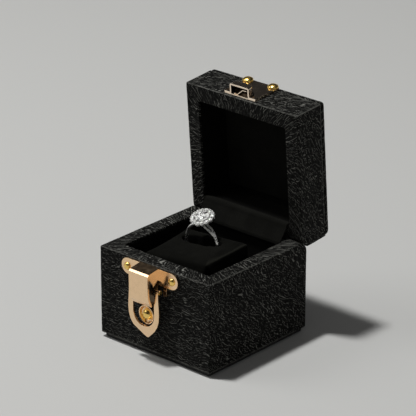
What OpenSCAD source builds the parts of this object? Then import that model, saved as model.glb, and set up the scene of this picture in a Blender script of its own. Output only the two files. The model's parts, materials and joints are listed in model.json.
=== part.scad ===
// Ring display box: a leather-covered case with a hinged lid, a swing latch
// and a slotted cushion that holds one ring.
// Millimetres. Origin: centre of the resting face. Front faces -Y, up is +Z.
// Lid pieces are drawn closed, measured from the hinge axis, then swung open.

/* [Case] */
// Outer width and depth of the case
case_w = 60; // [50:1:80]
// Height of the base with the lid off
base_h = 41; // [34:0.5:60]
// Height of the lid alone
lid_h = 17.5; // [16:0.5:30]
// How far the lid stands open, degrees
lid_open = 85.5; // [0:0.5:85.5]
// 45 degree cut on the two back edges that meet at the hinge
back_cut = 3.5; // [2:0.5:5]
// Radius of the upright corners
corner_r = 0.7; // [0.6:0.1:3]
// Leather thickness on the walls
skin = 1.2; // [0.8:0.1:2]
// Leather thickness on the two rims
rim_skin = 1.1; // [0.8:0.1:2]
// Hairline between the closed rims, half of it on each side
rim_gap = 0.15; // [0.05:0.05:0.4]
// Thickness of the bottom board
board_t = 1.5; // [1:0.1:3]
// Thickness of the felt under the bottom board
felt_t = 0.4; // [0.2:0.1:1]
// Thickness of the board on top of the lid
top_board_t = 2.2; // [1.5:0.1:4]

/* [Inside] */
// Half width of the base opening
open_x = 23; // [20:0.5:26]
// Front edge of the base opening
open_y0 = -22.5; // [-26:0.5:-18]
// Back edge of the base opening
open_y1 = 22.3; // [18:0.1:24]
// Velvet-on-card lining thickness
lining_t = 1.2; // [0.6:0.1:2]
// Height of the recess floor
recess_z = 26.8; // [15:0.1:34]
// Half width of the cushion
cushion_x = 16.2; // [12:0.1:20]
// Front face of the cushion
cushion_y0 = -15.6; // [-20:0.1:-8]
// Back face of the cushion
cushion_y1 = 10; // [6:0.1:18]
// Height of the cushion top at its middle
cushion_z = 40; // [32:0.1:42]
// Slope of the cushion top, rising to the right, degrees
cushion_tilt = 7; // [0:0.5:10]

/* [Latch] */
// Sideways position of the latch
latch_x = -1.6; // [-6:0.1:6]
// Thickness of the latch metal
metal_t = 0.8; // [0.5:0.1:1.2]
// Height of the bail pivot
bail_z = 31.6; // [28:0.1:34]
// Forward position of the bail pivot
bail_y = -33.2; // [-34:0.1:-32]
// Thickness of the bail
bail_t = 0.9; // [0.6:0.1:1.4]
// Half width of the bail window
window_x = 5.75; // [5.5:0.05:7]
// How far the tip of the bail bends back, degrees
tip_bend = 23; // [0:1:30]
// Radius of the dished rosette under the lower nail
rosette_r = 4.1; // [3:0.1:4.6]

/* [Ring] */
// Mid radius of the shank
shank_r = 8.5; // [7.5:0.1:11]
// Sideways position of the ring
ring_x = -1.85; // [-4:0.05:4]
// Front-to-back position of the ring
ring_y = 1; // [-3:0.1:4]
// Height of the middle of the shank
ring_z = 39.8; // [38:0.1:43]

/* [Hidden] */
half = case_w / 2;
axis_y = half - back_cut;
floor_z = felt_t + board_t;
base_top = base_h - rim_gap;
lid_top = lid_h - top_board_t;
core_half = half - skin;
// lid opening, from the hinge axis
lo_x = 23.3;
lo_f = -(axis_y + 22.8);
lo_b = -5.5;
lid_ceiling = 13.9;
// hinge barrel
pin_r = 0.6;
bore_r = 0.65;
knuckle_r = 1.4;
pocket_r = 1.75;
barrel_x = 17;
leaf_t = 0.8;
// latch plate
ear_z = 36.9;
ear_r = 3.5;
ear_x = 11.8;
nail_x = 12.15;
nail_z = 36.8;
bridge_out = 6.65;
tail_z = 19.5;
wall_y = -half;
bridge_x = 5.15;
eye_r = 1.1;
// keeper on the lid, heights from the rim plane
keeper_x = 8.4;
keeper_dx = 0.4;
keeper_z0 = 1.1;
keeper_z1 = 16.5;
keeper_nails_at = [[-7.3, 15.2], [5.9, 15.6]];
arch_s = 10.85;
arch_z = bail_z + arch_s - base_h;
// stones
head_z = ring_z + shank_r + 4;
head_lean = 8;
halo_n = 14;
halo_r = 4.45;
col_leather = [0.07, 0.07, 0.07];
col_velvet = [0.12, 0.12, 0.11];
col_board = [0.55, 0.47, 0.36];
col_rose = [0.87, 0.67, 0.55];
col_gold = [0.93, 0.76, 0.36];
col_steel = [0.72, 0.72, 0.74];
col_ring = [0.9, 0.9, 0.88];
col_stone = [0.95, 0.97, 1.0];

$fn = 40;

// ---- helpers ----

// Rectangle with rounded corners between two opposite corner points.
module rrect(x0, y0, x1, y1, r) {
    translate([x0 + r, y0]) square([x1 - x0 - 2 * r, y1 - y0]);
    translate([x0, y0 + r]) square([x1 - x0, y1 - y0 - 2 * r]);
    for (x = [x0 + r, x1 - r], y = [y0 + r, y1 - r])
        translate([x, y]) circle(r);
}

module block(x0, x1, y0, y1, z0, z1) {
    translate([x0, y0, z0]) cube([x1 - x0, y1 - y0, z1 - z0]);
}

module rod_x(x0, x1, y, z, r) {
    translate([x0, y, z]) rotate([0, 90, 0]) cylinder(h = x1 - x0, r = r);
}

// Profile drawn in Y and Z, run along X.
module along_x(x0, x1) {
    translate([x0, 0, 0]) rotate([90, 0, 90]) linear_extrude(x1 - x0) children();
}

// Outline drawn in X and Z, run from y0 to y1.
module along_y(y0, y1) {
    translate([0, y1, 0]) rotate([90, 0, 0]) linear_extrude(y1 - y0) children();
}

module lid_frame() {
    translate([0, axis_y, base_h]) rotate([-lid_open, 0, 0]) children();
}

// Moves a closed, world-placed shape into lid coordinates.
module from_closed() {
    translate([0, -axis_y, -base_h]) children();
}

module nail(x, z, r, h) {
    translate([x, wall_y, z]) rotate([90, 0, 0]) {
        translate([0, 0, -4]) cylinder(h = 4 + metal_t, r = 0.45);
        translate([0, 0, metal_t]) intersection() {
            translate([0, 0, h - r * 1.08]) sphere(r * 1.08);
            cylinder(h = h + 1, r = r);
        }
    }
}

module nail_hole(x, z) {
    translate([x, wall_y + 4, z]) rotate([90, 0, 0]) cylinder(h = 6, r = 0.45);
}

module base_nail_holes() {
    for (s = [-1, 1]) nail_hole(latch_x + s * nail_x, nail_z);
    nail_hole(latch_x, tail_z);
}

module keeper_nail_holes() {
    from_closed() translate([0, 0.2, 0]) for (p = keeper_nails_at)
        nail_hole(latch_x + p[0], base_h + p[1]);
}

// Room for the barrel and the sunk leaf, in hinge coordinates; up = 1 is the lid side.
module hinge_room(up) {
    rod_x(-barrel_x - 0.2, barrel_x + 0.2, 0, 0, pocket_r);
    mirror([0, 0, up > 0 ? 0 : 1]) leaf_plate();
}

module leaf_plate() {
    block(-barrel_x, barrel_x, -leaf_t / 2, leaf_t / 2, pocket_r - 0.05, 9);
}

module knuckles(list) {
    for (k = list) difference() {
        union() {
            rod_x(k[0], k[1], 0, 0, knuckle_r);
            block(k[0], k[1], -leaf_t / 2, leaf_t / 2, 1, pocket_r);
        }
        rod_x(k[0] - 1, k[1] + 1, 0, 0, bore_r);
    }
}

// Side profile of the base: a block with its top back edge cut at 45 degrees.
module base_profile(inset) {
    polygon([[-half + inset, floor_z], [half - inset, floor_z],
        [half - inset, base_h - back_cut - inset * 0.414],
        [axis_y - inset * 0.414, base_h], [-half + inset, base_h]]);
}

// ---- base ----

module base_core() {
    color(col_board) difference() {
        intersection() {
            translate([0, 0, floor_z]) linear_extrude(base_top - rim_skin - floor_z)
                square([2 * core_half, 2 * core_half], center = true);
            along_x(-half, half) base_profile(skin);
        }
        block(-open_x - 1, open_x + 1, open_y0 - 1, open_y1 + 1, floor_z + 2.2, base_h + 1);
        translate([0, axis_y, base_h]) hinge_room(-1);
        base_nail_holes();
    }
}

module base_leather() {
    color(col_leather) difference() {
        intersection() {
            translate([0, 0, floor_z]) linear_extrude(base_top - floor_z)
                rrect(-half, -half, half, half, corner_r);
            along_x(-half, half) base_profile(0);
        }
        intersection() {
            translate([0, 0, floor_z - 1]) linear_extrude(base_top - rim_skin - floor_z + 1)
                square([2 * core_half, 2 * core_half], center = true);
            union() {
                along_x(-half, half) base_profile(skin);
                block(-half, half, -half, half, 0, floor_z + 1);
            }
        }
        block(-open_x, open_x, open_y0, open_y1, base_h - 5, base_h + 1);
        translate([0, axis_y, base_h]) hinge_room(-1);
        hinge_cover_lower_shape();
        base_nail_holes();
        // rounded foot of the walls
        difference() {
            block(-half - 1, half + 1, -half - 1, half + 1, floor_z - 1, floor_z + 0.7);
            translate([0, 0, floor_z - 1]) linear_extrude(3)
                rrect(-half + 0.5, -half + 0.5, half - 0.5, half - 0.5, corner_r - 0.5);
        }
    }
}

module bottom_board() {
    color(col_leather) translate([0, 0, felt_t]) linear_extrude(board_t)
        rrect(-half + 1.2, -half + 1.2, half - 1.2, half - 1.2, 1);
}

module bottom_felt() {
    color(col_velvet) linear_extrude(felt_t)
        rrect(-half + 2.4, -half + 2.4, half - 2.4, half - 2.4, 1);
}

module foam_bed() {
    color([0.75, 0.75, 0.7])
        block(-open_x - 0.9, open_x + 0.9, open_y0 - 0.9, open_y1 + 0.9, floor_z + 2.2, recess_z - 0.8);
}

module base_lining() {
    color(col_velvet) difference() {
        block(-open_x - 1, open_x + 1, open_y0 - 1, open_y1 + 1, recess_z - 0.8, base_top - rim_skin - 0.05);
        block(-open_x - 1 + lining_t, open_x + 1 - lining_t, open_y0 - 1 + lining_t,
            open_y1 + 1 - lining_t, recess_z, base_h);
    }
}

// Foam block under velvet: sloping top, softened edges, a slit spread open.
module ring_cushion() {
    r = 2;
    wide = cushion_x / cos(cushion_tilt);
    color(col_velvet) difference() {
        intersection() {
            block(-cushion_x, cushion_x, cushion_y0, cushion_y1, recess_z, cushion_z + 5);
            translate([0, 0, cushion_z]) rotate([0, -cushion_tilt, 0]) intersection() {
                along_y(cushion_y0, cushion_y1) soft_top(-wide, wide, r);
                along_x(-cushion_x - 6, cushion_x + 6) soft_top(cushion_y0, cushion_y1, r);
            }
        }
        translate([ring_x, ring_y, ring_z - shank_r - 1.4]) linear_extrude(20)
            polygon([[-10.1, -1.2], [-5, -2.9], [5, -2.9], [10.1, -1.2],
                [10.1, 1.2], [5, 2.9], [-5, 2.9], [-10.1, 1.2]]);
    }
}

// Upright section with its top at zero and two rounded top corners.
module soft_top(u0, u1, r) {
    translate([u0, -20]) square([u1 - u0, 20 - r]);
    translate([u0 + r, -20]) square([u1 - u0 - 2 * r, 20]);
    for (u = [u0 + r, u1 - r]) translate([u, -r]) circle(r);
}

module hinge_cover_lower_shape() {
    block(-22.6, 22.6, open_y1 - 0.9, 24.6, base_h - 1, base_h - 0.2);
}

module hinge_cover_lower() {
    color(col_velvet) hinge_cover_lower_shape();
}

module hinge_leaf_lower() {
    color(col_gold) translate([0, axis_y, base_h]) mirror([0, 0, 1]) {
        leaf_plate();
        knuckles([[-17, -10.2], [-3.4, 3.4], [10.2, 17]]);
    }
}

module hinge_pin() {
    color(col_steel) rod_x(-barrel_x - 0.1, barrel_x + 0.1, axis_y, base_h, pin_r);
}

// ---- latch on the base ----

module latch_plate() {
    color(col_rose) difference() {
        along_y(wall_y - metal_t, wall_y) translate([latch_x, 0]) {
            translate([-ear_x, ear_z - ear_r]) square([2 * ear_x, 2 * ear_r]);
            for (s = [-1, 1]) translate([s * ear_x, ear_z]) circle(ear_r);
            for (s = [-1, 1]) translate([s * 8.4 - 0.9, 29.5]) square([1.8, 5]);
            translate([-2.6, tail_z]) square([5.2, ear_z - tail_z]);
            translate([0, tail_z]) circle(rosette_r);
        }
        base_nail_holes();
    }
}

// Dished washer that the arch of the bail closes round.
module latch_rosette() {
    color(col_rose) translate([latch_x, wall_y - metal_t, tail_z]) rotate([90, 0, 0]) rotate_extrude($fn = 72)
        polygon([[0.46, 0], [3.4, 0], [3.9, 0.5], [rosette_r, 1.5], [rosette_r, 2.2], [rosette_r - 0.45, 2.2],
            [3.2, 1.1], [2.5, 0.85], [1.4, 0.8], [0.46, 0.8]]);
}

// Bent-strip nose: flat top, front tongue that curls back, two cheeks.
module latch_bridge() {
    f = wall_y - metal_t;
    b = bridge_out;
    color(col_rose) translate([latch_x, 0, 0]) {
        along_x(-bridge_x, bridge_x) polygon([[f, 39.8], [f - b + 0.8, 39.8], [f - b + 0.2, 39.5],
            [f - b, 38.9], [f - b, 31.9], [f - b + 0.25, 29.2], [f - b + 0.95, 26.9], [f - b + 2.15, 25],
            [f - b + 2.75, 25.5], [f - b + 1.7, 27.3], [f - b + 1.05, 29.4], [f - b + 0.8, 31.9],
            [f - b + 0.8, 38.8], [f - b + 1, 39], [f, 39]]);
        for (s = [-1, 1]) along_x(s > 0 ? bridge_x - metal_t : -bridge_x, s > 0 ? bridge_x : -bridge_x + metal_t)
            polygon([[f, 39], [f - b + 0.8, 39], [f - b + 0.8, 38], [f - 5.5, 37.1], [f - 4.9, 36.4],
                [f - 4.2, 35.7], [f - 3.6, 34.7], [f - 3.2, 33.2], [f - 2.2, 33.2], [f, 33.5]]);
    }
}

// Two small ears beside the nose that hold the bail's pins.
module latch_lugs() {
    f = wall_y - metal_t;
    color(col_rose) for (s = [-1, 1]) translate([latch_x, 0, 0]) mirror([s < 0 ? 1 : 0, 0, 0]) difference() {
        union() {
            rod_x(5.25, 6, bail_y, bail_z, 1.2);
            along_x(5.25, 6) polygon([[f, 35.4], [f, 33.4], [bail_y + 0.4, bail_z - 1.13], [bail_y - 1.1, bail_z + 0.48],
                [bail_y - 0.3, bail_z + 1.16]]);
        }
        rod_x(5, 6.2, bail_y, bail_z, 0.5);
    }
}

module latch_nails() {
    color(col_gold) {
        for (s = [-1, 1]) nail(latch_x + s * nail_x, nail_z, 1.65, 1.15);
        translate([latch_x, wall_y, tail_z]) rotate([90, 0, 0]) {
            translate([0, 0, -4]) cylinder(h = 5.7, r = 0.45);
            intersection() {
                translate([0, 0, 1.95]) sphere(2.05);
                translate([0, 0, metal_t + 0.85]) cylinder(h = 4, r = 3);
            }
        }
    }
}

module bail_pins() {
    color(col_gold) for (s = [-1, 1]) translate([latch_x, 0, 0]) mirror([s < 0 ? 1 : 0, 0, 0]) {
        rod_x(5.25, 8, bail_y, bail_z, 0.5);
        rod_x(8, 8.35, bail_y, bail_z, 0.85);
    }
}

// Outline of the bail laid flat, measured down from the pivot.
module bail_outline() {
    difference() {
        polygon([[-7.9, 0], [-8, -3], [-8.25, -6.6], [-8.4, -9.6], [-8.2, -12.4],
            [-7.4, -15], [-5.8, -17.5], [-3.1, -20.2], [-0.7, -22.5], [0, -22.8],
            [0.7, -22.5], [3.1, -20.2], [5.8, -17.5], [7.4, -15], [8.2, -12.4],
            [8.4, -9.6], [8.25, -6.6], [8, -3], [7.9, 0]]);
        translate([0, -arch_s]) circle(window_x, $fn = 64);
        translate([-window_x, -arch_s]) square([2 * window_x, arch_s - 3.4]);
        translate([-6.15, -4]) square([12.3, 5]);
    }
}

// Shield-shaped stirrup: two arms on the pins, an arched window, a tip bent back.
module latch_bail() {
    y0 = bail_y - 0.85 - bail_t / 2;
    fold = -17.1;
    color(col_rose) translate([latch_x, 0, bail_z]) difference() {
        union() {
            along_y(y0, y0 + bail_t) intersection() {
                bail_outline();
                translate([-10, fold]) square([20, 18]);
            }
            translate([0, y0 + bail_t, fold]) rotate([tip_bend, 0, 0]) along_y(-bail_t, 0)
                intersection() {
                    translate([0, -fold]) bail_outline();
                    translate([-10, -8]) square([20, 8.15]);
                }
            for (s = [-1, 1]) rod_x(s > 0 ? 6.15 : -7.9, s > 0 ? 7.9 : -6.15, bail_y, 0, eye_r);
        }
        rod_x(-10, 10, bail_y, 0, 0.56);
    }
}

// ---- lid ----

module lid_envelope(inset, d0, d1) {
    intersection() {
        translate([0, -axis_y, d0]) linear_extrude(d1 - d0)
            rrect(-half + inset, -half + inset, half - inset, half - inset, max(corner_r - inset, 0.1));
        along_x(-half, half) {
            r = 4.2;
            difference() {
                polygon([[-axis_y - half, -1], [-inset * 0.414 - 1, -1], [-inset * 0.414 - 1, 0],
                    [-inset * 0.414, 0], [back_cut - inset, back_cut + inset * 0.414],
                    [back_cut - inset, lid_h], [-axis_y - half, lid_h]]);
                difference() {
                    translate([back_cut - r, lid_h - r]) square(r + 1);
                    translate([back_cut - r, lid_h - r]) circle(max(r - inset, 1), $fn = 64);
                }
            }
        }
    }
}

module lid_core() {
    color(col_board) lid_frame() difference() {
        lid_envelope(skin, rim_gap + rim_skin, lid_top);
        block(-lo_x - 1, lo_x + 1, lo_f - 1, lo_b + 1, -1, lid_ceiling + 0.6);
        hinge_room(1);
        keeper_nail_holes();
    }
}

module lid_leather() {
    color(col_leather) lid_frame() difference() {
        lid_envelope(0, rim_gap, lid_top);
        lid_envelope(skin, rim_gap + rim_skin, lid_top + 1);
        block(-lo_x, lo_x, lo_f, lo_b, -1, 6);
        hinge_room(1);
        hinge_cover_upper_shape();
        keeper_nail_holes();
    }
}

module lid_top_board() {
    color(col_leather) lid_frame() difference() {
        union() {
            lid_envelope(0, lid_top + 0.25, lid_h);
            lid_envelope(1.2, lid_top, lid_top + 0.25);
        }
        keeper_nail_holes();
    }
}

module lid_lining() {
    color(col_velvet) lid_frame() difference() {
        block(-lo_x - 1, lo_x + 1, lo_f - 1, lo_b + 1, rim_gap + rim_skin + 0.05, lid_ceiling + 0.6);
        block(-lo_x - 1 + lining_t, lo_x + 1 - lining_t, lo_f - 1 + lining_t,
            lo_b + 1 - lining_t, -1, lid_ceiling);
    }
}

module lid_pad() {
    color(col_velvet) lid_frame() translate([0, 0, lid_ceiling - 0.7]) linear_extrude(0.7)
        rrect(-20.5, lo_f + 2.8, 20.5, lo_b - 2.8, 2);
}

module hinge_cover_upper_shape() {
    block(-22.6, 22.6, lo_b + 0.1, -1.9, 0.2, 1);
}

module hinge_cover_upper() {
    color(col_velvet) lid_frame() hinge_cover_upper_shape();
}

module hinge_leaf_upper() {
    color(col_gold) lid_frame() {
        leaf_plate();
        knuckles([[-10.1, -3.5], [3.5, 10.1]]);
    }
}

// ---- keeper on the lid front ----

module keeper_plate() {
    f = -axis_y - half;
    color(col_rose) lid_frame() difference() {
        translate([latch_x + keeper_dx, 0, 0]) {
            along_y(f - 0.6, f) rrect(-keeper_x, keeper_z0, keeper_x, keeper_z1, 0.6);
            // folded edge on the rim side and the two ends
            along_y(f - 1.2, f - 0.6) difference() {
                rrect(-keeper_x, keeper_z0, keeper_x, keeper_z1 - 4, 0.5);
                translate([-keeper_x + 0.6, keeper_z0 + 0.6])
                    square([2 * keeper_x - 1.2, keeper_z1]);
                translate([-5.2, keeper_z0 - 1]) square([10.4, 2]);
            }
        }
        keeper_nail_holes();
    }
}

// Plan of the raised box: square toward the rim, round where the bail's arch passes.
module keeper_plan(r) {
    intersection() {
        union() {
            translate([0, arch_z]) circle(r, $fn = 64);
            translate([-r, -2]) square([2 * r, arch_z + 2]);
        }
        translate([-r, keeper_z0]) square([2 * r, 8]);
    }
}

// Raised hood that the bail drops over, open toward the rim, with a low foot.
module keeper_box() {
    f = -axis_y - half - 0.6;
    color(col_rose) lid_frame() translate([latch_x + keeper_dx, 0, 0]) difference() {
        union() {
            intersection() {
                along_y(f - 4.4, f) keeper_plan(5.1);
                translate([0, 0, -1]) linear_extrude(9) rrect(-5.1, f - 4.4, 5.1, f + 2, 0.8);
                along_x(-6, 6) polygon([[f, 0], [f - 4.4, 0], [f - 4.4, 4.7], [f - 4.1, 5.3],
                    [f - 3.2, 5.9], [f - 1.6, 6.6], [f, 6.6]]);
            }
            along_y(f - 0.4, f) difference() {
                keeper_plan(5.9);
                translate([-6, 0]) square([12, keeper_z0 + 0.7]);
            }
        }
        intersection() {
            along_y(f - 3.75, f + 1) translate([0, -0.5]) keeper_plan(4.45);
            along_x(-6, 6) polygon([[f + 1, -1], [f - 3.75, -1], [f - 3.75, 4.4], [f - 3.3, 4.9],
                [f - 1.4, 5.8], [f + 1, 5.8]]);
        }
    }
}

// Thin strip bent across the box.
module keeper_spring() {
    f = -axis_y - half - 0.6;
    color(col_rose) lid_frame() translate([latch_x + keeper_dx, 0, keeper_z0 + 0.5]) linear_extrude(1.8)
        polygon([[-3.4, f], [-3.4, f - 0.35], [-1.5, f - 0.35], [1.3, f - 2.7],
            [3.4, f - 2.7], [3.4, f - 2.35], [1.45, f - 2.35], [-1.3, f]]);
}

module keeper_nails() {
    color(col_gold) lid_frame() from_closed() for (p = keeper_nails_at)
        translate([0, 0.2, 0]) nail(latch_x + p[0], base_h + p[1], 2.4, 1.9);
}

// ---- ring ----

module at_ring() {
    translate([ring_x, ring_y, ring_z]) children();
}

module ring_shank() {
    color(col_ring) at_ring() rotate([90, 0, 0]) rotate_extrude($fn = 96)
        translate([shank_r, 0]) circle(0.85);
}

module stone(r, crown, pavilion) {
    translate([0, 0, 0.1]) cylinder(h = crown, r1 = r, r2 = r * 0.58, $fn = 8);
    translate([0, 0, -0.1]) cylinder(h = 0.2, r = r, $fn = 8);
    translate([0, 0, -0.1 - pavilion]) cylinder(h = pavilion, r1 = 0.05, r2 = r, $fn = 8);
}

// Girdle plane of the halo, leaning a little to the front and the left.
module at_head() {
    translate([ring_x, ring_y, head_z]) rotate([head_lean, -head_lean / 2, 0]) children();
}

module ring_setting() {
    color(col_ring) difference() {
        at_head() {
            difference() {
                translate([0, 0, -1.9]) cylinder(h = 1.95, r1 = 5.2, r2 = 5.4, $fn = 64);
                translate([0, 0, -3]) cylinder(h = 5, r = 3.3, $fn = 64);
                for (i = [0 : halo_n - 1]) rotate([0, 0, i * 360 / halo_n])
                    translate([halo_r, 0, -2]) cylinder(h = 4, r = 0.79, $fn = 16);
            }
            // open basket between the plate and the band
            difference() {
                translate([0, 0, -3.6]) cylinder(h = 1.7, r1 = 2, r2 = 4.4, $fn = 64);
                translate([0, 0, -3.65]) cylinder(h = 1.8, r1 = 1.35, r2 = 3.6, $fn = 64);
                for (a = [0, 60, 120]) rotate([0, 0, a + 30]) translate([0, 0, -2.6]) rotate([90, 0, 0])
                    cylinder(h = 12, r = 0.45, center = true, $fn = 24);
            }
        }
        at_ring() rotate([90, 0, 0])
            cylinder(h = 16, r = shank_r + 0.86, center = true, $fn = 96);
    }
}

module ring_prongs() {
    color(col_ring) at_head() for (i = [0 : 3]) rotate([0, 0, 45 + i * 90]) translate([3.5, 0, 0]) {
        translate([0, 0, 0.05]) cylinder(h = 0.7, r = 0.38, $fn = 20);
        translate([-0.1, 0, 0.72]) sphere(0.44, $fn = 20);
    }
}

module centre_stone() {
    color(col_stone) at_head() rotate([0, 0, 22.5]) translate([0, 0, 0.15]) stone(3.1, 0.95, 1.4);
}

module halo_stones() {
    color(col_stone) at_head() for (i = [0 : halo_n - 1]) rotate([0, 0, i * 360 / halo_n])
        translate([halo_r, 0, 0]) stone(0.76, 0.4, 0.55);
}

base_core();
base_leather();
bottom_board();
bottom_felt();
foam_bed();
base_lining();
ring_cushion();
hinge_cover_lower();
hinge_leaf_lower();
hinge_pin();
latch_plate();
latch_rosette();
latch_bridge();
latch_lugs();
latch_nails();
bail_pins();
ring_shank();
ring_setting();
ring_prongs();
centre_stone();
halo_stones();
latch_bail();
lid_core();
lid_leather();
lid_top_board();
lid_lining();
lid_pad();
hinge_cover_upper();
hinge_leaf_upper();
keeper_plate();
keeper_box();
keeper_spring();
keeper_nails();
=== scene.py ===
"""Dresses the ring display box: leather case, velvet inside, swing latch and one ring."""

import json
import logging
import math
from collections.abc import Callable, Sequence
from dataclasses import dataclass, field
from enum import Enum

import bmesh
import bpy
from mathutils import Matrix, Vector, noise

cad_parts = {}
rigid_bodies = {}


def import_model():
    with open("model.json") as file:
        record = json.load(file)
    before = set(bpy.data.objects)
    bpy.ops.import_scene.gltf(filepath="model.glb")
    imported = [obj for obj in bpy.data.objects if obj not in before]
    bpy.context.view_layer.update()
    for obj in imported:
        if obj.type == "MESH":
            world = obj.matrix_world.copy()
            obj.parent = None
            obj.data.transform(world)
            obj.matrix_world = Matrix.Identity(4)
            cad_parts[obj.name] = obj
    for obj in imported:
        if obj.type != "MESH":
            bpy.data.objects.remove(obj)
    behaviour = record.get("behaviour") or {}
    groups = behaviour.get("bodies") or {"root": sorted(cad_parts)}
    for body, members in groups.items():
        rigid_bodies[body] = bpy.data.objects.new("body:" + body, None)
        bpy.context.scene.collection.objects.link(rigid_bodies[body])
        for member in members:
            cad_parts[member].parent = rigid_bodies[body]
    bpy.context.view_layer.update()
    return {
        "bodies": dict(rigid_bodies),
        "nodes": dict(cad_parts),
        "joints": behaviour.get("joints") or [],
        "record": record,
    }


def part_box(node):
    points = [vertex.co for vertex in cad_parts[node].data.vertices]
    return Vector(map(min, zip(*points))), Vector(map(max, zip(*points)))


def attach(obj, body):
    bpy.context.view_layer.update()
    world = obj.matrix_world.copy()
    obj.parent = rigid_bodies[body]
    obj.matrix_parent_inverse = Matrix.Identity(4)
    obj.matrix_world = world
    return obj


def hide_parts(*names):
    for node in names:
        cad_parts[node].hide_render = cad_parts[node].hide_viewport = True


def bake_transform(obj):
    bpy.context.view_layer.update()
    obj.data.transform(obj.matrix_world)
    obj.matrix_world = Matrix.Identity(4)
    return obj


LOG = logging.getLogger("ring_box")
Socket = bpy.types.NodeSocket
Point = tuple[float, float, float]
Colour = Sequence[float] | Socket
Sides = tuple[float, float, float, float]
Reshape = Callable[[bmesh.types.BMesh], None]

# One millimetre, in metres.
MM = 0.001
# The hinge axis, in millimetres.
HINGE_Y, HINGE_Z = 26.5, 41.0
# Points closer than this, in metres, are one point.
WELD = 0.002 * MM
# Angles between two faces, in degrees: in one plane, on a round stretch, and at a corner.
FLAT_LIMIT, FACET_LIMIT, CORNER_LIMIT = 0.5, 12.0, 48.0
# Edges shorter than this, in metres, aren't widened where a bend is.
SHORT_EDGE = 2.5 * MM
BEVEL_STEPS = 4
# The small first loop of a skin that starts in the middle of a face: its sides and corner radius.
MIDDLE: Sides = (-1.0, 1.0, -1.0, 1.0)
MIDDLE_R = 0.4
# The ring's four strands: which shoulder, and which way from the middle of the band.
STRANDS = ((0, -1), (0, 1), (1, -1), (1, 1))


class Body(Enum):
    """The moving bodies of the box."""

    BASE = "base"
    LID = "lid"
    BAIL = "bail"


class Slot(Enum):
    """Material slots of the record."""

    BOARD = "case_board"
    LEATHER = "black_leather"
    FELT = "black_felt"
    FOAM = "foam"
    VELVET = "black_velvet"
    CUSHION = "cushion_velvet"
    BRASS = "hinge_brass"
    STEEL = "hinge_steel"
    ROSE = "rose_gold"
    YELLOW = "yellow_brass"
    WHITE = "white_gold"
    STONE = "clear_stone"


# ---- node helpers ----


class Graph:
    """Adds nodes to one tree and links them."""

    def __init__(self, tree: bpy.types.NodeTree) -> None:
        """Keeps the tree that nodes are added to."""
        self.tree = tree

    def add(self, kind: str, inputs: dict | None = None, **settings: object) -> bpy.types.Node:
        """Adds one node.

        Args:
            kind: Blender's name for the node type.
            inputs: Socket name or number to a value, or to a socket that feeds it.
            settings: Properties of the node itself.

        Returns:
            The new node.
        """
        node = self.tree.nodes.new(kind)
        for key, value in settings.items():
            setattr(node, key, value)
        self.feed(node, inputs or {})
        return node

    def feed(self, node: bpy.types.Node, inputs: dict) -> None:
        """Sets a node's inputs, each to a value or from a socket.

        Args:
            node: The node to set.
            inputs: Socket name or number to a value, or to a socket that feeds it.
        """
        for key, value in inputs.items():
            if isinstance(value, Socket):
                self.tree.links.new(value, node.inputs[key])
            else:
                node.inputs[key].default_value = value

    def math(self, operation: str, a: object, b: object = 0.0, c: object = 0.0) -> Socket:
        """One Math node's result."""
        return self.add("ShaderNodeMath", {0: a, 1: b, 2: c}, operation=operation).outputs[0]

    def vector(self, operation: str, a: object, b: object) -> Socket:
        """One Vector Math node's result."""
        return self.add("ShaderNodeVectorMath", {0: a, 1: b}, operation=operation).outputs[0]

    def scaled(self, vector: object, factor: object) -> Socket:
        """A vector times a number."""
        return self.add("ShaderNodeVectorMath", {0: vector, 3: factor}, operation="SCALE").outputs[0]

    def ramped(
        self, value: object, low: float, high: float, to_low: float = 0.0, to_high: float = 1.0
    ) -> Socket:
        """A value eased from one range to another."""
        values = {0: value, 1: low, 2: high, 3: to_low, 4: to_high}
        return self.add("ShaderNodeMapRange", values, interpolation_type="SMOOTHSTEP").outputs[0]

    def noise(
        self, vector: object, scale: object, detail: float = 2.0, roughness: float = 0.5
    ) -> bpy.types.Node:
        """A noise texture on a vector."""
        values = {"Vector": vector, "Scale": scale, "Detail": detail, "Roughness": roughness}
        return self.add("ShaderNodeTexNoise", values)

    def level(
        self, vector: object, scale: object, times: float, detail: float = 2.0, roughness: float = 0.5
    ) -> Socket:
        """The level of a noise at a number of times a scale."""
        return self.noise(vector, self.math("MULTIPLY", scale, times), detail, roughness).outputs["Fac"]

    def mark(self, name: str) -> Socket:
        """A number that the mesh carries under a name."""
        return self.add("ShaderNodeAttribute", attribute_name=name).outputs["Fac"]

    def mixed(self, factor: object, a: Colour, b: Colour) -> Socket:
        """Two colours mixed by a factor."""
        pair = {6: a, 7: b}
        inputs = {key: value if isinstance(value, Socket) else (*value, 1.0) for key, value in pair.items()}
        return self.add("ShaderNodeMix", {0: factor, **inputs}, data_type="RGBA").outputs[2]


def new_group(
    name: str, inputs: dict[str, float | None], outputs: Sequence[str]
) -> tuple[Graph, dict, Callable]:
    """Starts a shader node group.

    Args:
        name: The group's name.
        inputs: Input name to its default, where None makes a vector socket.
        outputs: Names of the float outputs.

    Returns:
        The graph, the input sockets by name, and a function that feeds an output.
    """
    tree = bpy.data.node_groups.new(name, "ShaderNodeTree")
    for key, default in inputs.items():
        kind = "NodeSocketVector" if default is None else "NodeSocketFloat"
        socket = tree.interface.new_socket(key, in_out="INPUT", socket_type=kind)
        if default is not None:
            socket.default_value = default
    for key in outputs:
        tree.interface.new_socket(key, in_out="OUTPUT", socket_type="NodeSocketFloat")
    graph = Graph(tree)
    entry = graph.add("NodeGroupInput")
    exit_node = graph.add("NodeGroupOutput")

    def leave(key: str, value: Socket) -> None:
        """Feeds one of the group's outputs."""
        graph.feed(exit_node, {key: value})

    return graph, {key: entry.outputs[key] for key in inputs}, leave


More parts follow.
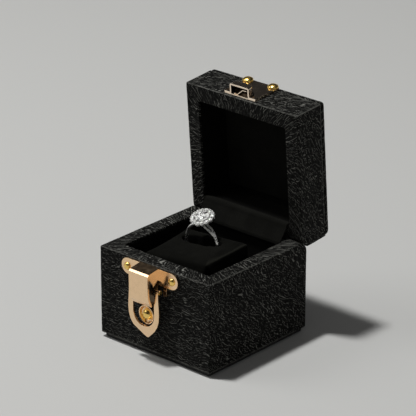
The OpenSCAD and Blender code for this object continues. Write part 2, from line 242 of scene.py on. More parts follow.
class Effects:
    """The surface effects that several finishes share, each a node group built once."""

    _made: dict[str, bpy.types.NodeTree] = {}

    @classmethod
    def group(cls, name: str) -> bpy.types.NodeTree:
        """The named group, built at its first use."""
        if name not in cls._made:
            cls._made[name] = getattr(cls, "_" + name)()
        return cls._made[name]

    @staticmethod
    def _creases(graph: Graph, where: Socket, per_cell: Socket) -> Socket:
        """Winding ridges in two sizes along a noise's middle level, the large ones broken up.

        Args:
            graph: The group's graph.
            where: The vector that the noises read.
            per_cell: The noise scale of one grain cell.

        Returns:
            The ridges' height, which is one at their tops.
        """
        ridges = []
        for size, width, aside in ((0.5, 0.1, 0.0), (1.05, 0.125, 0.37)):
            moved = graph.vector("ADD", where, (aside, aside, 0.0))
            level = graph.level(moved, per_cell, size, 1.0, 0.45)
            away = graph.math("ABSOLUTE", graph.math("SUBTRACT", level, 0.5))
            ridges.append(graph.ramped(away, 0.0, width, 1.0, 0.0))
        large, small = ridges
        breaks = graph.level(where, per_cell, 0.6, 0.0)
        broken = graph.math("MULTIPLY", large, graph.ramped(breaks, 0.34, 0.5))
        return graph.math("MAXIMUM", broken, graph.math("MULTIPLY", small, 0.7))

    @staticmethod
    def _hide_grain() -> bpy.types.NodeTree:
        """Wrinkled grain: winding creases over pebbles and pores, and a painted highlight on the flank of
        each crease that faces the light.

        Returns:
            The group's tree.
        """
        inputs = {"Vector": None, "Lean": None, "Cell": 0.0013}
        graph, given, leave = new_group("hide_grain", inputs, ("Height", "Flank", "Mottle"))
        where, cell = given["Vector"], given["Cell"]
        per_cell = graph.math("DIVIDE", 1.0, cell)
        bent = where
        for size, reach in ((0.12, 5.0), (0.5, 0.8)):
            drift = graph.noise(where, graph.math("MULTIPLY", per_cell, size), 1.0).outputs["Color"]
            centred = graph.vector("SUBTRACT", drift, (0.5, 0.5, 0.5))
            bent = graph.vector("ADD", bent, graph.scaled(centred, graph.math("MULTIPLY", cell, reach)))
        ridge = Effects._creases(graph, bent, per_cell)
        # Painted highlight: the Lean input is a step toward the light. The crease height minus the height one
        # step along it marks the lit flank of each crease.
        beside = graph.vector("ADD", bent, graph.scaled(given["Lean"], cell))
        fall = graph.math("SUBTRACT", ridge, Effects._creases(graph, beside, per_cell))
        keep = graph.ramped(graph.level(where, per_cell, 0.22), 0.3, 0.6, 0.5, 1.0)
        leave("Flank", graph.math("MULTIPLY", graph.ramped(fall, 0.12, 0.58), keep))
        values = {"Vector": bent, "Scale": graph.math("MULTIPLY", per_cell, 1.7)}
        pebble = graph.add("ShaderNodeTexVoronoi", values).outputs["Distance"]
        pores = graph.math("MULTIPLY", graph.level(where, per_cell, 5.0, 2.0, 0.6), 0.08)
        low = graph.math("MULTIPLY_ADD", pebble, -0.35, pores)
        leave("Height", graph.math("ADD", ridge, low))
        leave("Mottle", graph.level(where, per_cell, 0.09, 3.0))
        return graph.tree

    @staticmethod
    def _pile() -> bpy.types.NodeTree:
        """Short fibre pile: fine tufts, and wide patches where the pile leans another way.

        Returns:
            The group's tree.
        """
        graph, given, leave = new_group("pile", {"Vector": None, "Tuft": 0.00025}, ("Height", "Brush"))
        per_tuft = graph.math("DIVIDE", 1.0, given["Tuft"])
        leave("Height", graph.noise(given["Vector"], per_tuft, 2.0, 0.7).outputs["Fac"])
        patches = graph.level(given["Vector"], per_tuft, 0.04, 2.0, 0.55)
        leave("Brush", graph.ramped(patches, 0.35, 0.65))
        return graph.tree

    @staticmethod
    def _polish() -> bpy.types.NodeTree:
        """Polished plating: hairline scratches, faint smears and a slow unevenness of the sheet.

        Returns:
            The group's tree.
        """
        inputs = {"Vector": None, "Scratch": 0.0004}
        graph, given, leave = new_group("polish", inputs, ("Height", "Smear", "Wave"))
        per_line = graph.math("DIVIDE", 1.0, given["Scratch"])
        along = graph.vector("MULTIPLY", given["Vector"], (1.0, 1.0, 0.08))
        leave("Height", graph.noise(along, per_line, 2.0, 0.6).outputs["Fac"])
        leave("Smear", graph.level(given["Vector"], per_line, 0.16, 3.0, 0.6))
        leave("Wave", graph.level(given["Vector"], per_line, 0.05, 1.0, 0.4))
        return graph.tree

    @staticmethod
    def _facets() -> bpy.types.NodeTree:
        """Angular patches in two sizes for painted reflections, most of them light and some dark, each with
        its own tilt.

        Returns:
            The group's tree.
        """
        graph, given, leave = new_group("facets", {"Vector": None, "Facet": 0.0007}, ("Light", "Tilt"))
        per_facet = graph.math("DIVIDE", 1.0, given["Facet"])
        lights, tilts = [], []
        for times in (1.0, 2.1):
            values = {"Vector": given["Vector"], "Scale": graph.math("MULTIPLY", per_facet, times)}
            cells = graph.add("ShaderNodeTexVoronoi", values, distance="CHEBYCHEV").outputs
            tone = graph.add("ShaderNodeSeparateColor", {0: cells["Color"]}).outputs[0]
            lights.append(graph.ramped(tone, 0.14, 0.32))
            tilts.append(cells["Distance"])
        leave("Light", graph.math("MULTIPLY", *lights))
        leave("Tilt", graph.math("ADD", *tilts))
        return graph.tree


# ---- finishes ----

MADE: dict[str, bpy.types.Material] = {}


@dataclass(frozen=True)
class Finish:
    """A surface finish. Each kind builds its own material."""

    name: str
    slot: Slot
    colour: Point

    def material(self) -> bpy.types.Material:
        """The finish's material, built at its first use.

        Returns:
            The material.
        """
        made = MADE.get(self.name)
        if made is None:
            made = MADE[self.name] = bpy.data.materials.new(self.name)
            made.use_nodes = True
            made.node_tree.nodes.clear()
            made.diffuse_color = (*self.colour, 1.0)
            graph = Graph(made.node_tree)
            shader = graph.add("ShaderNodeBsdfPrincipled")
            graph.add("ShaderNodeOutputMaterial", {"Surface": shader.outputs[0]})
            self.dress(graph, shader)
        return made

    def tinted(self, times: float) -> Point:
        """The finish's colour, lighter or darker by a factor."""
        return tuple(channel * times for channel in self.colour)

    def dress(self, graph: Graph, shader: bpy.types.Node) -> None:
        """Sets and feeds the shader's sockets; each kind of finish has its own."""
        raise NotImplementedError

    def effect(
        self, graph: Graph, name: str, where: Socket | None = None, **values: object
    ) -> bpy.types.Node:
        """Places a shared effect on a vector, or on the piece's own coordinates.

        Args:
            graph: The material's graph.
            name: The effect's name.
            where: The vector that it reads, or None for the piece's own coordinates.
            values: The effect's inputs, by name in small letters.

        Returns:
            The effect's node.
        """
        if where is None:
            where = graph.add("ShaderNodeTexCoord").outputs["Object"]
        node = graph.add("ShaderNodeGroup", node_tree=Effects.group(name))
        graph.feed(node, {"Vector": where, **{key.capitalize(): value for key, value in values.items()}})
        return node

    def bump(self, graph: Graph, shader: bpy.types.Node, height: Socket, depth: float) -> None:
        """Feeds the normal from a height that rises by depth, in metres."""
        node = graph.add("ShaderNodeBump", {"Strength": 1.0, "Distance": depth, "Height": height})
        graph.feed(shader, {"Normal": node.outputs["Normal"]})


@dataclass(frozen=True)
class Leather(Finish):
    """Creased black leather, puckered across the rims, with a painted highlight on the lit flanks of its
    creases and along its edges.
    """

    cell: float = 1.2 * MM
    depth: float = 0.4 * MM
    # Grey of the painted highlight on crease flanks and edges.
    highlight_grey: float = 0.24
    gloss: float = 0.08

    def dress(self, graph: Graph, shader: bpy.types.Node) -> None:
        """Colour and roughness from the painted highlight on crease flanks and edges, bump from the whole
        grain.

        Args:
            graph: The material's graph.
            shader: The shader to set.
        """
        where = graph.add("ShaderNodeUVMap", uv_map="hide").outputs["UV"]
        crease, lie, on_rim, edge = (graph.mark(name) for name in ("crease", "lie", "rim", "edge"))
        turn = {"Vector": where, "Angle": lie}
        turned = graph.add("ShaderNodeVectorRotate", turn, rotation_type="Z_AXIS").outputs[0]
        along = graph.vector("MULTIPLY", turned, (0.5, 1.0, 1.0))
        across = graph.vector("MULTIPLY", where, (1.0, 0.38, 1.0))
        wall = self.effect(graph, "hide_grain", along, cell=self.cell, lean=(0.08, 0.19, 0.0))
        rim = self.effect(graph, "hide_grain", across, cell=self.cell * 1.2, lean=(0.2, 0.05, 0.0))
        height, flank = (
            self.blended(graph, on_rim, wall.outputs[key], rim.outputs[key]) for key in ("Height", "Flank")
        )
        mottle = graph.ramped(wall.outputs["Mottle"], 0.35, 0.65)
        mottled = graph.mixed(mottle, self.colour, self.tinted(1.5))
        # Painted highlight: the lit crease flanks, scaled by the crease mark, and the painted edge highlights
        # take a paler grey and a lower roughness.
        painted_highlight = graph.math("MAXIMUM", graph.math("MULTIPLY", flank, crease), edge)
        graph.feed(shader, {
            "Base Color": graph.mixed(painted_highlight, mottled, (self.highlight_grey, self.highlight_grey, self.highlight_grey * 0.9)),
            "Roughness": graph.ramped(painted_highlight, 0.0, 0.9, 0.7, 0.4),
            "Specular IOR Level": self.gloss,
        })
        self.bump(graph, shader, height, self.depth)

    @staticmethod
    def blended(graph: Graph, factor: Socket, a: Socket, b: Socket) -> Socket:
        """A number mixed from two by a factor."""
        return graph.add("ShaderNodeMix", {0: factor, 2: a, 3: b}, data_type="FLOAT").outputs[0]


@dataclass(frozen=True)
class Velvet(Finish):
    """Short-pile fabric, near black with painted shade down a slit and lighter with a painted sheen highlight
    along a marked edge.
    """

    sheen: float = 0.35
    tuft: float = 0.3 * MM
    depth: float = 0.12 * MM

    def dress(self, graph: Graph, shader: bpy.types.Node) -> None:
        """Colour from the lean of the pile, sheen on the shader, bump from the tufts.

        Args:
            graph: The material's graph.
            shader: The shader to set.
        """
        pile = self.effect(graph, "pile", tuft=self.tuft)
        tone = graph.mixed(pile.outputs["Brush"], self.colour, self.tinted(1.6))
        colour = graph.mixed(graph.ramped(pile.outputs["Height"], 0.3, 0.7), self.tinted(0.6), tone)
        # Painted light from two marks: a sheen highlight at four times the colour along one edge, and shade
        # at a tenth of it down the slit.
        for name, times in (("painted_highlight", 4.0), ("slit", 0.1)):
            colour = graph.mixed(graph.mark(name), colour, self.tinted(times))
        graph.feed(shader, {
            "Base Color": colour,
            "Roughness": 0.95,
            "Specular IOR Level": 0.05,
            "Sheen Weight": self.sheen,
            "Sheen Roughness": 0.45,
            "Sheen Tint": (0.9, 0.9, 0.8, 1.0),
        })
        self.bump(graph, shader, pile.outputs["Height"], self.depth)


@dataclass(frozen=True)
class Metal(Finish):
    """Polished plated metal, with painted shade on the faces inside a pocket that a face attribute marks."""

    roughness: float = 0.12
    pocket_shade_tint: float = 0.1
    wave: float = 0.02 * MM

    def dress(self, graph: Graph, shader: bpy.types.Node) -> None:
        """Colour and roughness vary with smears; the bump holds scratches and the sheet's waves.

        Args:
            graph: The material's graph.
            shader: The shader to set.
        """
        polish = self.effect(graph, "polish").outputs
        smear = polish["Smear"]
        bright = graph.mixed(graph.ramped(smear, 0.35, 0.7), self.colour, self.tinted(0.95))
        graph.feed(shader, {
            # Painted shade: marked pocket faces take a near-black copy of the colour.
            "Base Color": graph.mixed(graph.mark("pocket_shade"), bright, self.tinted(self.pocket_shade_tint)),
            "Roughness": graph.ramped(smear, 0.3, 0.75, self.roughness, self.roughness * 1.9),
            "Metallic": 1.0,
        })
        height = graph.math("MULTIPLY_ADD", polish["Height"], 0.04, polish["Wave"])
        self.bump(graph, shader, height, self.wave)


@dataclass(frozen=True)
class Gem(Finish):
    """Clear cut stone, its colour painted with bright and dark reflection patches for the light that its
    inner facets throw.
    """

    facet: float = 0.85 * MM
    # Colour of the painted dark reflections, as a share of the stone's colour.
    deep: float = 0.03
    tilt: float = 0.12 * MM

    def dress(self, graph: Graph, shader: bpy.types.Node) -> None:
        """Painted reflections as patches of light and dark in two sizes, slightly tilted facets and a
        polished face.

        Args:
            graph: The material's graph.
            shader: The shader to set.
        """
        patches = self.effect(graph, "facets", facet=self.facet).outputs
        # Painted reflections: the colour runs from its dark copy up to white across the patches, and the
        # lighter patches are slightly rougher.
        light = patches["Light"]
        graph.feed(shader, {
            "Base Color": graph.mixed(light, self.tinted(self.deep), self.colour),
            "Roughness": graph.ramped(light, 0.0, 1.0, 0.02, 0.12),
            "IOR": 2.3,
        })
        self.bump(graph, shader, patches["Tilt"], self.tilt)


@dataclass(frozen=True)
class Board(Finish):
    """Fibre board, foam or paper inside the case."""

    grain: float = 0.5 * MM
    depth: float = 0.1 * MM

    def dress(self, graph: Graph, shader: bpy.types.Node) -> None:
        """Speckled matt colour and a fine bump.

        Args:
            graph: The material's graph.
            shader: The shader to set.
        """
        height = self.effect(graph, "pile", tuft=self.grain).outputs["Height"]
        graph.feed(shader, {
            "Base Color": graph.mixed(height, self.tinted(0.7), self.colour),
            "Roughness": 0.85,
        })
        self.bump(graph, shader, height, self.depth)


LEATHER = Leather("grained_leather", Slot.LEATHER, (0.003, 0.003, 0.0026))
EDGE_PAPER = Board("base_paper", Slot.LEATHER, (0.012, 0.012, 0.011), grain=0.3 * MM)
VELVET = Velvet("lining_velvet", Slot.VELVET, (0.003, 0.003, 0.0027), sheen=0.025)
PAD_VELVET = Velvet("pad_velvet", Slot.VELVET, (0.006, 0.006, 0.005), sheen=0.04)
CUSHION_VELVET = Velvet("cushion_velvet", Slot.CUSHION, (0.0042, 0.0042, 0.0034), sheen=0.02)
FELT = Board("foot_felt", Slot.FELT, (0.02, 0.02, 0.02), grain=0.3 * MM)
FOAM = Board("soft_foam", Slot.FOAM, (0.55, 0.55, 0.5), grain=0.6 * MM)
BOARD = Board("case_board", Slot.BOARD, (0.42, 0.31, 0.2), grain=0.8 * MM)
ROSE_GOLD = Metal("rose_gold_plate", Slot.ROSE, (1.0, 0.71, 0.44), roughness=0.14)
PALE_ROSE = Metal("pale_rose_gold", Slot.ROSE, (1.0, 0.83, 0.66), roughness=0.12)
YELLOW_BRASS = Metal("yellow_brass", Slot.YELLOW, (1.0, 0.69, 0.2), roughness=0.2)
HINGE_BRASS = Metal("hinge_brass", Slot.BRASS, (0.8, 0.6, 0.28), roughness=0.3)
STEEL = Metal("hinge_steel", Slot.STEEL, (0.6, 0.6, 0.6), roughness=0.3)
WHITE_GOLD = Metal("white_gold", Slot.WHITE, (0.9, 0.9, 0.87), roughness=0.2, wave=0.004 * MM)
# Both stones carry painted reflections in their colour.
STONE = Gem("clear_stone", Slot.STONE, (1.0, 1.0, 0.97))
PAVE = Gem("pave_stone", Slot.STONE, (1.0, 1.0, 0.97), facet=0.5 * MM, deep=0.25)


# ---- mesh helpers ----


def new_object(name: str, data: bpy.types.ID) -> bpy.types.Object:
    """A scene object for a mesh, a lamp or a camera."""
    obj = bpy.data.objects.new(name, data)
    bpy.context.scene.collection.objects.link(obj)
    return obj


def mesh_object(name: str, shape: bmesh.types.BMesh, sharp: float = 40.0) -> bpy.types.Object:
    """Turns a bmesh into an object with smooth faces and sharp edges above an angle in degrees.

    Args:
        name: The object's name.
        shape: The bmesh, which is freed.
        sharp: Angle in degrees above which an edge stays sharp.

    Returns:
        The new object.
    """
    shape.normal_update()
    for face in shape.faces:
        face.smooth = True
    for edge in shape.edges:
        edge.smooth = len(edge.link_faces) == 2 and edge.calc_face_angle(0.0) < math.radians(sharp)
    mesh = bpy.data.meshes.new(name)
    shape.to_mesh(mesh)
    shape.free()
    return new_object(name, mesh)


def settle(obj: bpy.types.Object, body: Body, finish: Finish, *nodes: str) -> bpy.types.Object:
    """Gives a piece its material and body, and hides the nodes that it stands for.

    Args:
        obj: The piece.
        body: The body that it rides on.
        finish: Its finish.
        nodes: The CAD nodes that it replaces.

    Returns:
        The same piece.
    """
    obj.data.materials.clear()
    obj.data.materials.append(finish.material())
    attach(obj, body.value)
    if nodes:
        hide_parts(*nodes)
    LOG.info("%s: %d faces on %s", obj.name, len(obj.data.polygons), body.value)
    return obj


def baked(obj: bpy.types.Object) -> bpy.types.Object:
    """Applies an object's modifiers and returns it as a plain mesh.

    Args:
        obj: The object to bake.

    Returns:
        The same object.
    """
    bpy.context.view_layer.update()
    graph = bpy.context.evaluated_depsgraph_get()
    mesh = bpy.data.meshes.new_from_object(obj.evaluated_get(graph), depsgraph=graph)
    obj.modifiers.clear()
    obj.data = mesh
    return obj


def merged_copy(node: str) -> bmesh.types.BMesh:
    """A CAD node's mesh with its doubled points joined.

    Args:
        node: The CAD node to copy.

    Returns:
        The copy as a bmesh, in metres.
    """
    shape = bmesh.new()
    shape.from_mesh(bpy.data.objects[node].data)
    bmesh.ops.remove_doubles(shape, verts=shape.verts, dist=WELD)
    return shape


def join_flats(shape: bmesh.types.BMesh) -> None:
    """Joins faces that lie in one plane."""
    limit = math.radians(FLAT_LIMIT)
    bmesh.ops.dissolve_limit(shape, angle_limit=limit, verts=shape.verts, edges=shape.edges)


def slice_faces(shape: bmesh.types.BMesh, at: Point, way: Point) -> None:
    """Cuts the faces along a plane through a point, in the bmesh's own unit."""
    geom = list(shape.verts) + list(shape.edges) + list(shape.faces)
    bmesh.ops.bisect_plane(shape, geom=geom, plane_co=at, plane_no=way)


def softened(
    node: str, width: float, bend: float = 0.0, reshape: Reshape | None = None
) -> bpy.types.Object:
    """A merged copy of a CAD node with its hard edges rounded and its bends smooth.

    Args:
        node: The CAD node to copy.
        width: Width of the rounded edge, in metres.
        bend: Width that long, shallow bends are widened to, in metres.
        reshape: Changes the merged copy before its edges are rounded.

    Returns:
        The new object.
    """
    shape = merged_copy(node)
    bmesh.ops.dissolve_degenerate(shape, edges=shape.edges, dist=WELD / 2)
    join_flats(shape)
    if reshape:
        reshape(shape)
    weight = shape.edges.layers.float.new("bevel_weight_edge")
    for edge in shape.edges:
        angle = math.degrees(edge.calc_face_angle(0.0))
        edge[weight] = float(FACET_LIMIT < angle < CORNER_LIMIT and edge.calc_length() > SHORT_EDGE)
    obj = mesh_object(node + "_soft", shape, sharp=CORNER_LIMIT)
    if bend:
        add_bevel(obj, bend, "WEIGHT")
    return rounded_off(obj, width)


def add_bevel(obj: bpy.types.Object, width: float, limit: str) -> None:
    """Adds one bevel for edges picked by weight or by angle.

    Args:
        obj: The object to bevel.
        width: The bevel's width, in metres.
        limit: WEIGHT or ANGLE, which picks the edges.
    """
    bevel = obj.modifiers.new("round", "BEVEL")
    bevel.width = width
    bevel.segments = BEVEL_STEPS
    bevel.limit_method = limit
    bevel.angle_limit = math.radians(CORNER_LIMIT)
    bevel.use_clamp_overlap = True


def rounded_off(obj: bpy.types.Object, width: float) -> bpy.types.Object:
    """Rounds an object's corners, keeps its flats even and applies both.

    Args:
        obj: The object to round.
        width: Width of the rounded corner, in metres.

    Returns:
        The same object.
    """
    add_bevel(obj, width, "ANGLE")
    normal = obj.modifiers.new("normal", "WEIGHTED_NORMAL")
    normal.keep_sharp = True
    return baked(obj)


def swollen(node: str, grow: float, voxel: float, cap: float, shrink: float) -> bpy.types.Object:
    """A padded copy of a CAD node, blown up by a cloth simulation.

    Args:
        node: The CAD node to copy.
        grow: How much larger the copy is while it is simulated.
        voxel: Size of its faces, in metres.
        cap: How far a point may move, in metres.
        shrink: How far the copy is drawn in first, in metres.

    Returns:
        The new object.
    """
    obj = mesh_object(node + "_pad", merged_copy(node))
    obj.data.transform(Matrix.Scale(grow, 4))
    remesh = obj.modifiers.new("remesh", "REMESH")
    remesh.mode = "VOXEL"
    remesh.voxel_size = voxel * grow
    draw_in = obj.modifiers.new("draw_in", "DISPLACE")
    draw_in.strength, draw_in.mid_level = -shrink * grow, 0.0
    baked(obj)
    start = [v.co.copy() for v in obj.data.vertices]
    blow_up(obj)
    for vert, before in zip(obj.data.vertices, start):
        moved = vert.co - before
        vert.co = before + moved * min(1.0, cap * grow / max(moved.length, 1e-9))
    smooth = obj.modifiers.new("smooth", "SMOOTH")
    smooth.factor, smooth.iterations = 0.5, 4
    finer = obj.modifiers.new("finer", "SUBSURF")
    finer.levels = finer.render_levels = 1
    baked(obj)
    obj.data.transform(Matrix.Scale(1 / grow, 4))
    for face in obj.data.polygons:
        face.use_smooth = True
    return obj


def blow_up(obj: bpy.types.Object, frames: int = 20) -> None:
    """Runs a cloth under pressure, without gravity, for some frames and keeps the result.

    Args:
        obj: The object that becomes a cloth.
        frames: Number of frames to run.
    """
    scene = bpy.context.scene
    cloth = obj.modifiers.new("cloth", "CLOTH")
    cloth.settings.use_pressure = True
    cloth.settings.uniform_pressure_force = 4.0
    cloth.settings.effector_weights.gravity = 0.0
    cloth.point_cache.frame_start, cloth.point_cache.frame_end = 1, frames
    for frame in range(1, frames + 1):
        scene.frame_set(frame)
    baked(obj)
    scene.frame_set(1)


@dataclass(frozen=True)
class Loop:
    """One rounded rectangle of a swept skin, in millimetres."""

    x0: float
    x1: float
    y0: float
    y1: float
    r: float
    z: float

    def between(self, other: "Loop", t: float) -> "Loop":
        """The loop a share t of the way to another one."""
        pairs = zip(self.values(), other.values())
        return Loop(*(a + (b - a) * t for a, b in pairs))

    def values(self) -> tuple[float, ...]:
        """The six numbers of the loop."""
        return (self.x0, self.x1, self.y0, self.y1, self.r, self.z)

    def gap(self, other: "Loop") -> float:
        """The longest way between matching edges of two loops."""
        sides = max(abs(a - b) for a, b in zip(self.values()[:4], other.values()[:4]))
        return math.hypot(sides, self.z - other.z)


@dataclass
class Skin:
    """A skin swept through rounded rectangles, such as leather round a board.

    Attributes:
        loops: The rectangles in order along the profile.
        step: Wanted size of a face, in millimetres.
        closed: True where the last loop meets the first; otherwise both ends are capped.
        shape: Moves a point of the swept skin to its final place, in millimetres.
        marks: Attributes of the points, each a function of the unmoved point.
        visible_rows: Loops from this one on are out of sight and get no rows between them.
        corner_steps: Faces round each corner of a rectangle.
    """

    loops: list[Loop]
    step: float
    closed: bool
    shape: Callable[[Vector], Vector] = field(default=lambda p: p)
    marks: dict[str, Callable[[Vector], float]] = field(default_factory=dict)
    visible_rows: int = 10**6
    corner_steps: int = 4

    def outline(self, loop: Loop, across: int, deep: int) -> list[Vector]:
        """Points round one rectangle, anticlockwise from its front left corner.

        Args:
            loop: The rectangle.
            across: Faces along its front and back.
            deep: Faces along its two sides.

        Returns:
            The points, in millimetres.
        """
        sides = ((loop.x0, loop.y0), (loop.x1, loop.y0), (loop.x1, loop.y1), (loop.x0, loop.y1))
        arcs = []
        for (x, y), start in zip(sides, (180, 270, 0, 90)):
            cx = x + loop.r * (1 if x == loop.x0 else -1)
            cy = y + loop.r * (1 if y == loop.y0 else -1)
            arc = []
            for k in range(self.corner_steps + 1):
                a = math.radians(start + 90 * k / self.corner_steps)
                arc.append(Vector((cx + loop.r * math.cos(a), cy + loop.r * math.sin(a), loop.z)))
            arcs.append(arc)
        points = []
        for index, (arc, following) in enumerate(zip(arcs, arcs[1:] + arcs[:1])):
            count = across if index % 2 == 0 else deep
            points += arc
            points += [arc[-1].lerp(following[0], k / count) for k in range(1, count)]
        return points

    def rows(self) -> list[Loop]:
        """The loops, with rows between them about one step apart where they show.

        Returns:
            The rows in order, the first one again at the end of a closed skin.
        """
        chain = list(self.loops) + ([self.loops[0]] if self.closed else [])
        rows = []
        for index, (a, b) in enumerate(zip(chain, chain[1:])):
            count = max(1, round(a.gap(b) / self.step)) if index < self.visible_rows else 1
            rows += [a.between(b, k / count) for k in range(count)]
        return rows + [chain[-1]]

    def swept(self) -> bmesh.types.BMesh:
        """The skin as a bmesh in metres, with the map "hide" along and across it.

        Returns:
            The bmesh. On a broad flat end, the map lies flat on the face.
        """
        widest = max(self.loops, key=lambda loop: loop.x1 - loop.x0)
        across = max(2, round((widest.x1 - widest.x0) / self.step))
        deep = max(2, round((widest.y1 - widest.y0) / self.step))
        rows = self.rows()
        outlines = [self.outline(row, across, deep) for row in rows]
        shape = bmesh.new()
        layers = {name: shape.verts.layers.float.new(name) for name in self.marks}
        rings = []
        for outline in outlines[: -1 if self.closed else None]:
            ring = []
            for p in outline:
                vert = shape.verts.new(self.shape(p) * MM)
                for name, layer in layers.items():
                    vert[layer] = self.marks[name](p)
                ring.append(vert)
            rings.append(ring)
        if self.closed:
            rings.append(rings[0])
        border = self.outline(widest, across, deep)
        us = running(border + border[:1])
        vs = [0.0]
        for a, b in zip(rows, rows[1:]):
            vs.append(vs[-1] + a.gap(b))
        uv = shape.loops.layers.uv.new("hide")
        for i, (lower, upper) in enumerate(zip(rings, rings[1:])):
            inside = rows[i].x1 < widest.x1 - 0.7
            flat = not self.closed and rows[i].z == rows[i + 1].z and inside
            for k in range(len(lower)):
                n = (k + 1) % len(lower)
                face = shape.faces.new((lower[k], lower[n], upper[n], upper[k]))
                for loop, (u, v) in zip(face.loops, ((k, i), (k + 1, i), (k + 1, i + 1), (k, i + 1))):
                    p = outlines[v][u % len(lower)]
                    loop[uv].uv = (p.x * MM, p.y * MM) if flat else (us[u] * MM, vs[v] * MM)
        if not self.closed:
            shape.faces.new(list(reversed(rings[0])))
            shape.faces.new(rings[-1])
        bmesh.ops.recalc_face_normals(shape, faces=shape.faces)
        return shape

    def piece(
        self, name: str, finish: Finish, node: str, lid: Matrix | None = None, sharp: float = 60.0
    ) -> bpy.types.Object:
        """Makes the skin into a piece that stands for a CAD node.

        Args:
            name: The piece's name.
            finish: Its finish.
            node: The CAD node that it replaces.
            lid: The open lid's place, for a piece that is drawn in lid coordinates.
            sharp: Angle in degrees above which an edge stays sharp.

        Returns:
            The new object, on the lid where lid is given and on the base otherwise.
        """
        shape = self.swept()
        if lid is None:
            return settle(mesh_object(name, shape, sharp), Body.BASE, finish, node)
        shape.transform(lid)
        return settle(mesh_object(name, shape, sharp), Body.LID, finish, node)


def running(points: Sequence[Vector]) -> list[float]:
    """Length along a line up to each of its points.

    Args:
        points: The line's points.

    Returns:
        One length for each point, starting at zero.
    """
    lengths = [0.0]
    for a, b in zip(points, points[1:]):
        lengths.append(lengths[-1] + (b - a).length)
    return lengths


def rounded(a: Loop, corner: Loop, b: Loop, radius: float, steps: int = 4) -> list[Loop]:
    """Loops that turn a corner of the profile with a radius, in millimetres.

    Args:
        a: The loop before the corner.
        corner: The loop at the sharp corner itself.
        b: The loop after the corner.
        radius: Radius of the turn.
        steps: Number of faces round the turn.

    Returns:
        The loops of the turn, in order.
    """
    start = corner.between(a, min(0.49, radius / max(corner.gap(a), 1e-6)))
    end = corner.between(b, min(0.49, radius / max(corner.gap(b), 1e-6)))
    found = []
    for k in range(steps + 1):
        t = k / steps * math.pi / 2
        u, v = 1 - math.sin(t), 1 - math.cos(t)
        trios = zip(corner.values(), start.values(), end.values())
        found.append(Loop(*(c + (s - c) * u + (e - c) * v for c, s, e in trios)))
    return found


def profile(points: Sequence[tuple[Loop, float]], closed: bool) -> list[Loop]:
    """Joins profile corners, each with its own radius, into one list of loops.

    Args:
        points: Each corner with the radius of its turn.
        closed: True where the last corner is followed by the first.

    Returns:
        The loops, in order.
    """
    found = []
    for index, (corner, radius) in enumerate(points):
        inner = closed or 0 < index < len(points) - 1
        if radius and inner:
            found += rounded(points[index - 1][0], corner, points[(index + 1) % len(points)][0], radius)
        else:
            found.append(corner)
    return found


def swell(point: Vector, size: float, seed: float = 0.0) -> float:
    """Smooth noise from -1 to 1 on a point in millimetres, with waves of a given size."""
    return noise.noise(Vector((point.x / size + seed, point.y / size - seed, point.z / size + 2 * seed)))


def share(value: float) -> float:
    """A value held between zero and one."""
    return min(1.0, max(0.0, value))


def circle(angle: float, radius: float = 1.0, z: float = 0.0) -> Vector:
    """A point on a circle round Z, at an angle in radians."""
    return Vector((radius * math.cos(angle), radius * math.sin(angle), z))


def chaikin(points: list[Vector], rounds: int) -> list[Vector]:
    """Rounds the corners of a line of points, keeping its two ends.

    Args:
        points: The line's points.
        rounds: How often its corners are cut.

    Returns:
        The rounded line.
    """
    for _ in range(rounds):
        cut = [q for a, b in zip(points, points[1:]) for q in (a.lerp(b, 0.25), a.lerp(b, 0.75))]
        points = [points[0], *cut[1:-1], points[-1]]
    return points


def lid_matrix(joints: Sequence[dict]) -> Matrix:
    """Moves lid coordinates, drawn closed from the hinge axis, to where the lid stands open.

    Args:
        joints: The frame's joints.

    Returns:
        The move, in metres.
    """
    joint = next(j for j in joints if j["child"] == Body.LID.value)
    turn = -math.radians(joint["range_deg"][1])
    return Matrix.Translation(joint["pos_m"]) @ Matrix.Rotation(turn, 4, "X")


# ---- repeated parts ----


@dataclass(frozen=True)
class Spot:
    """A place for a repeated part, in millimetres: position, facing, radius and height."""

    at: Vector
    way: Vector
    radius: float
    height: float


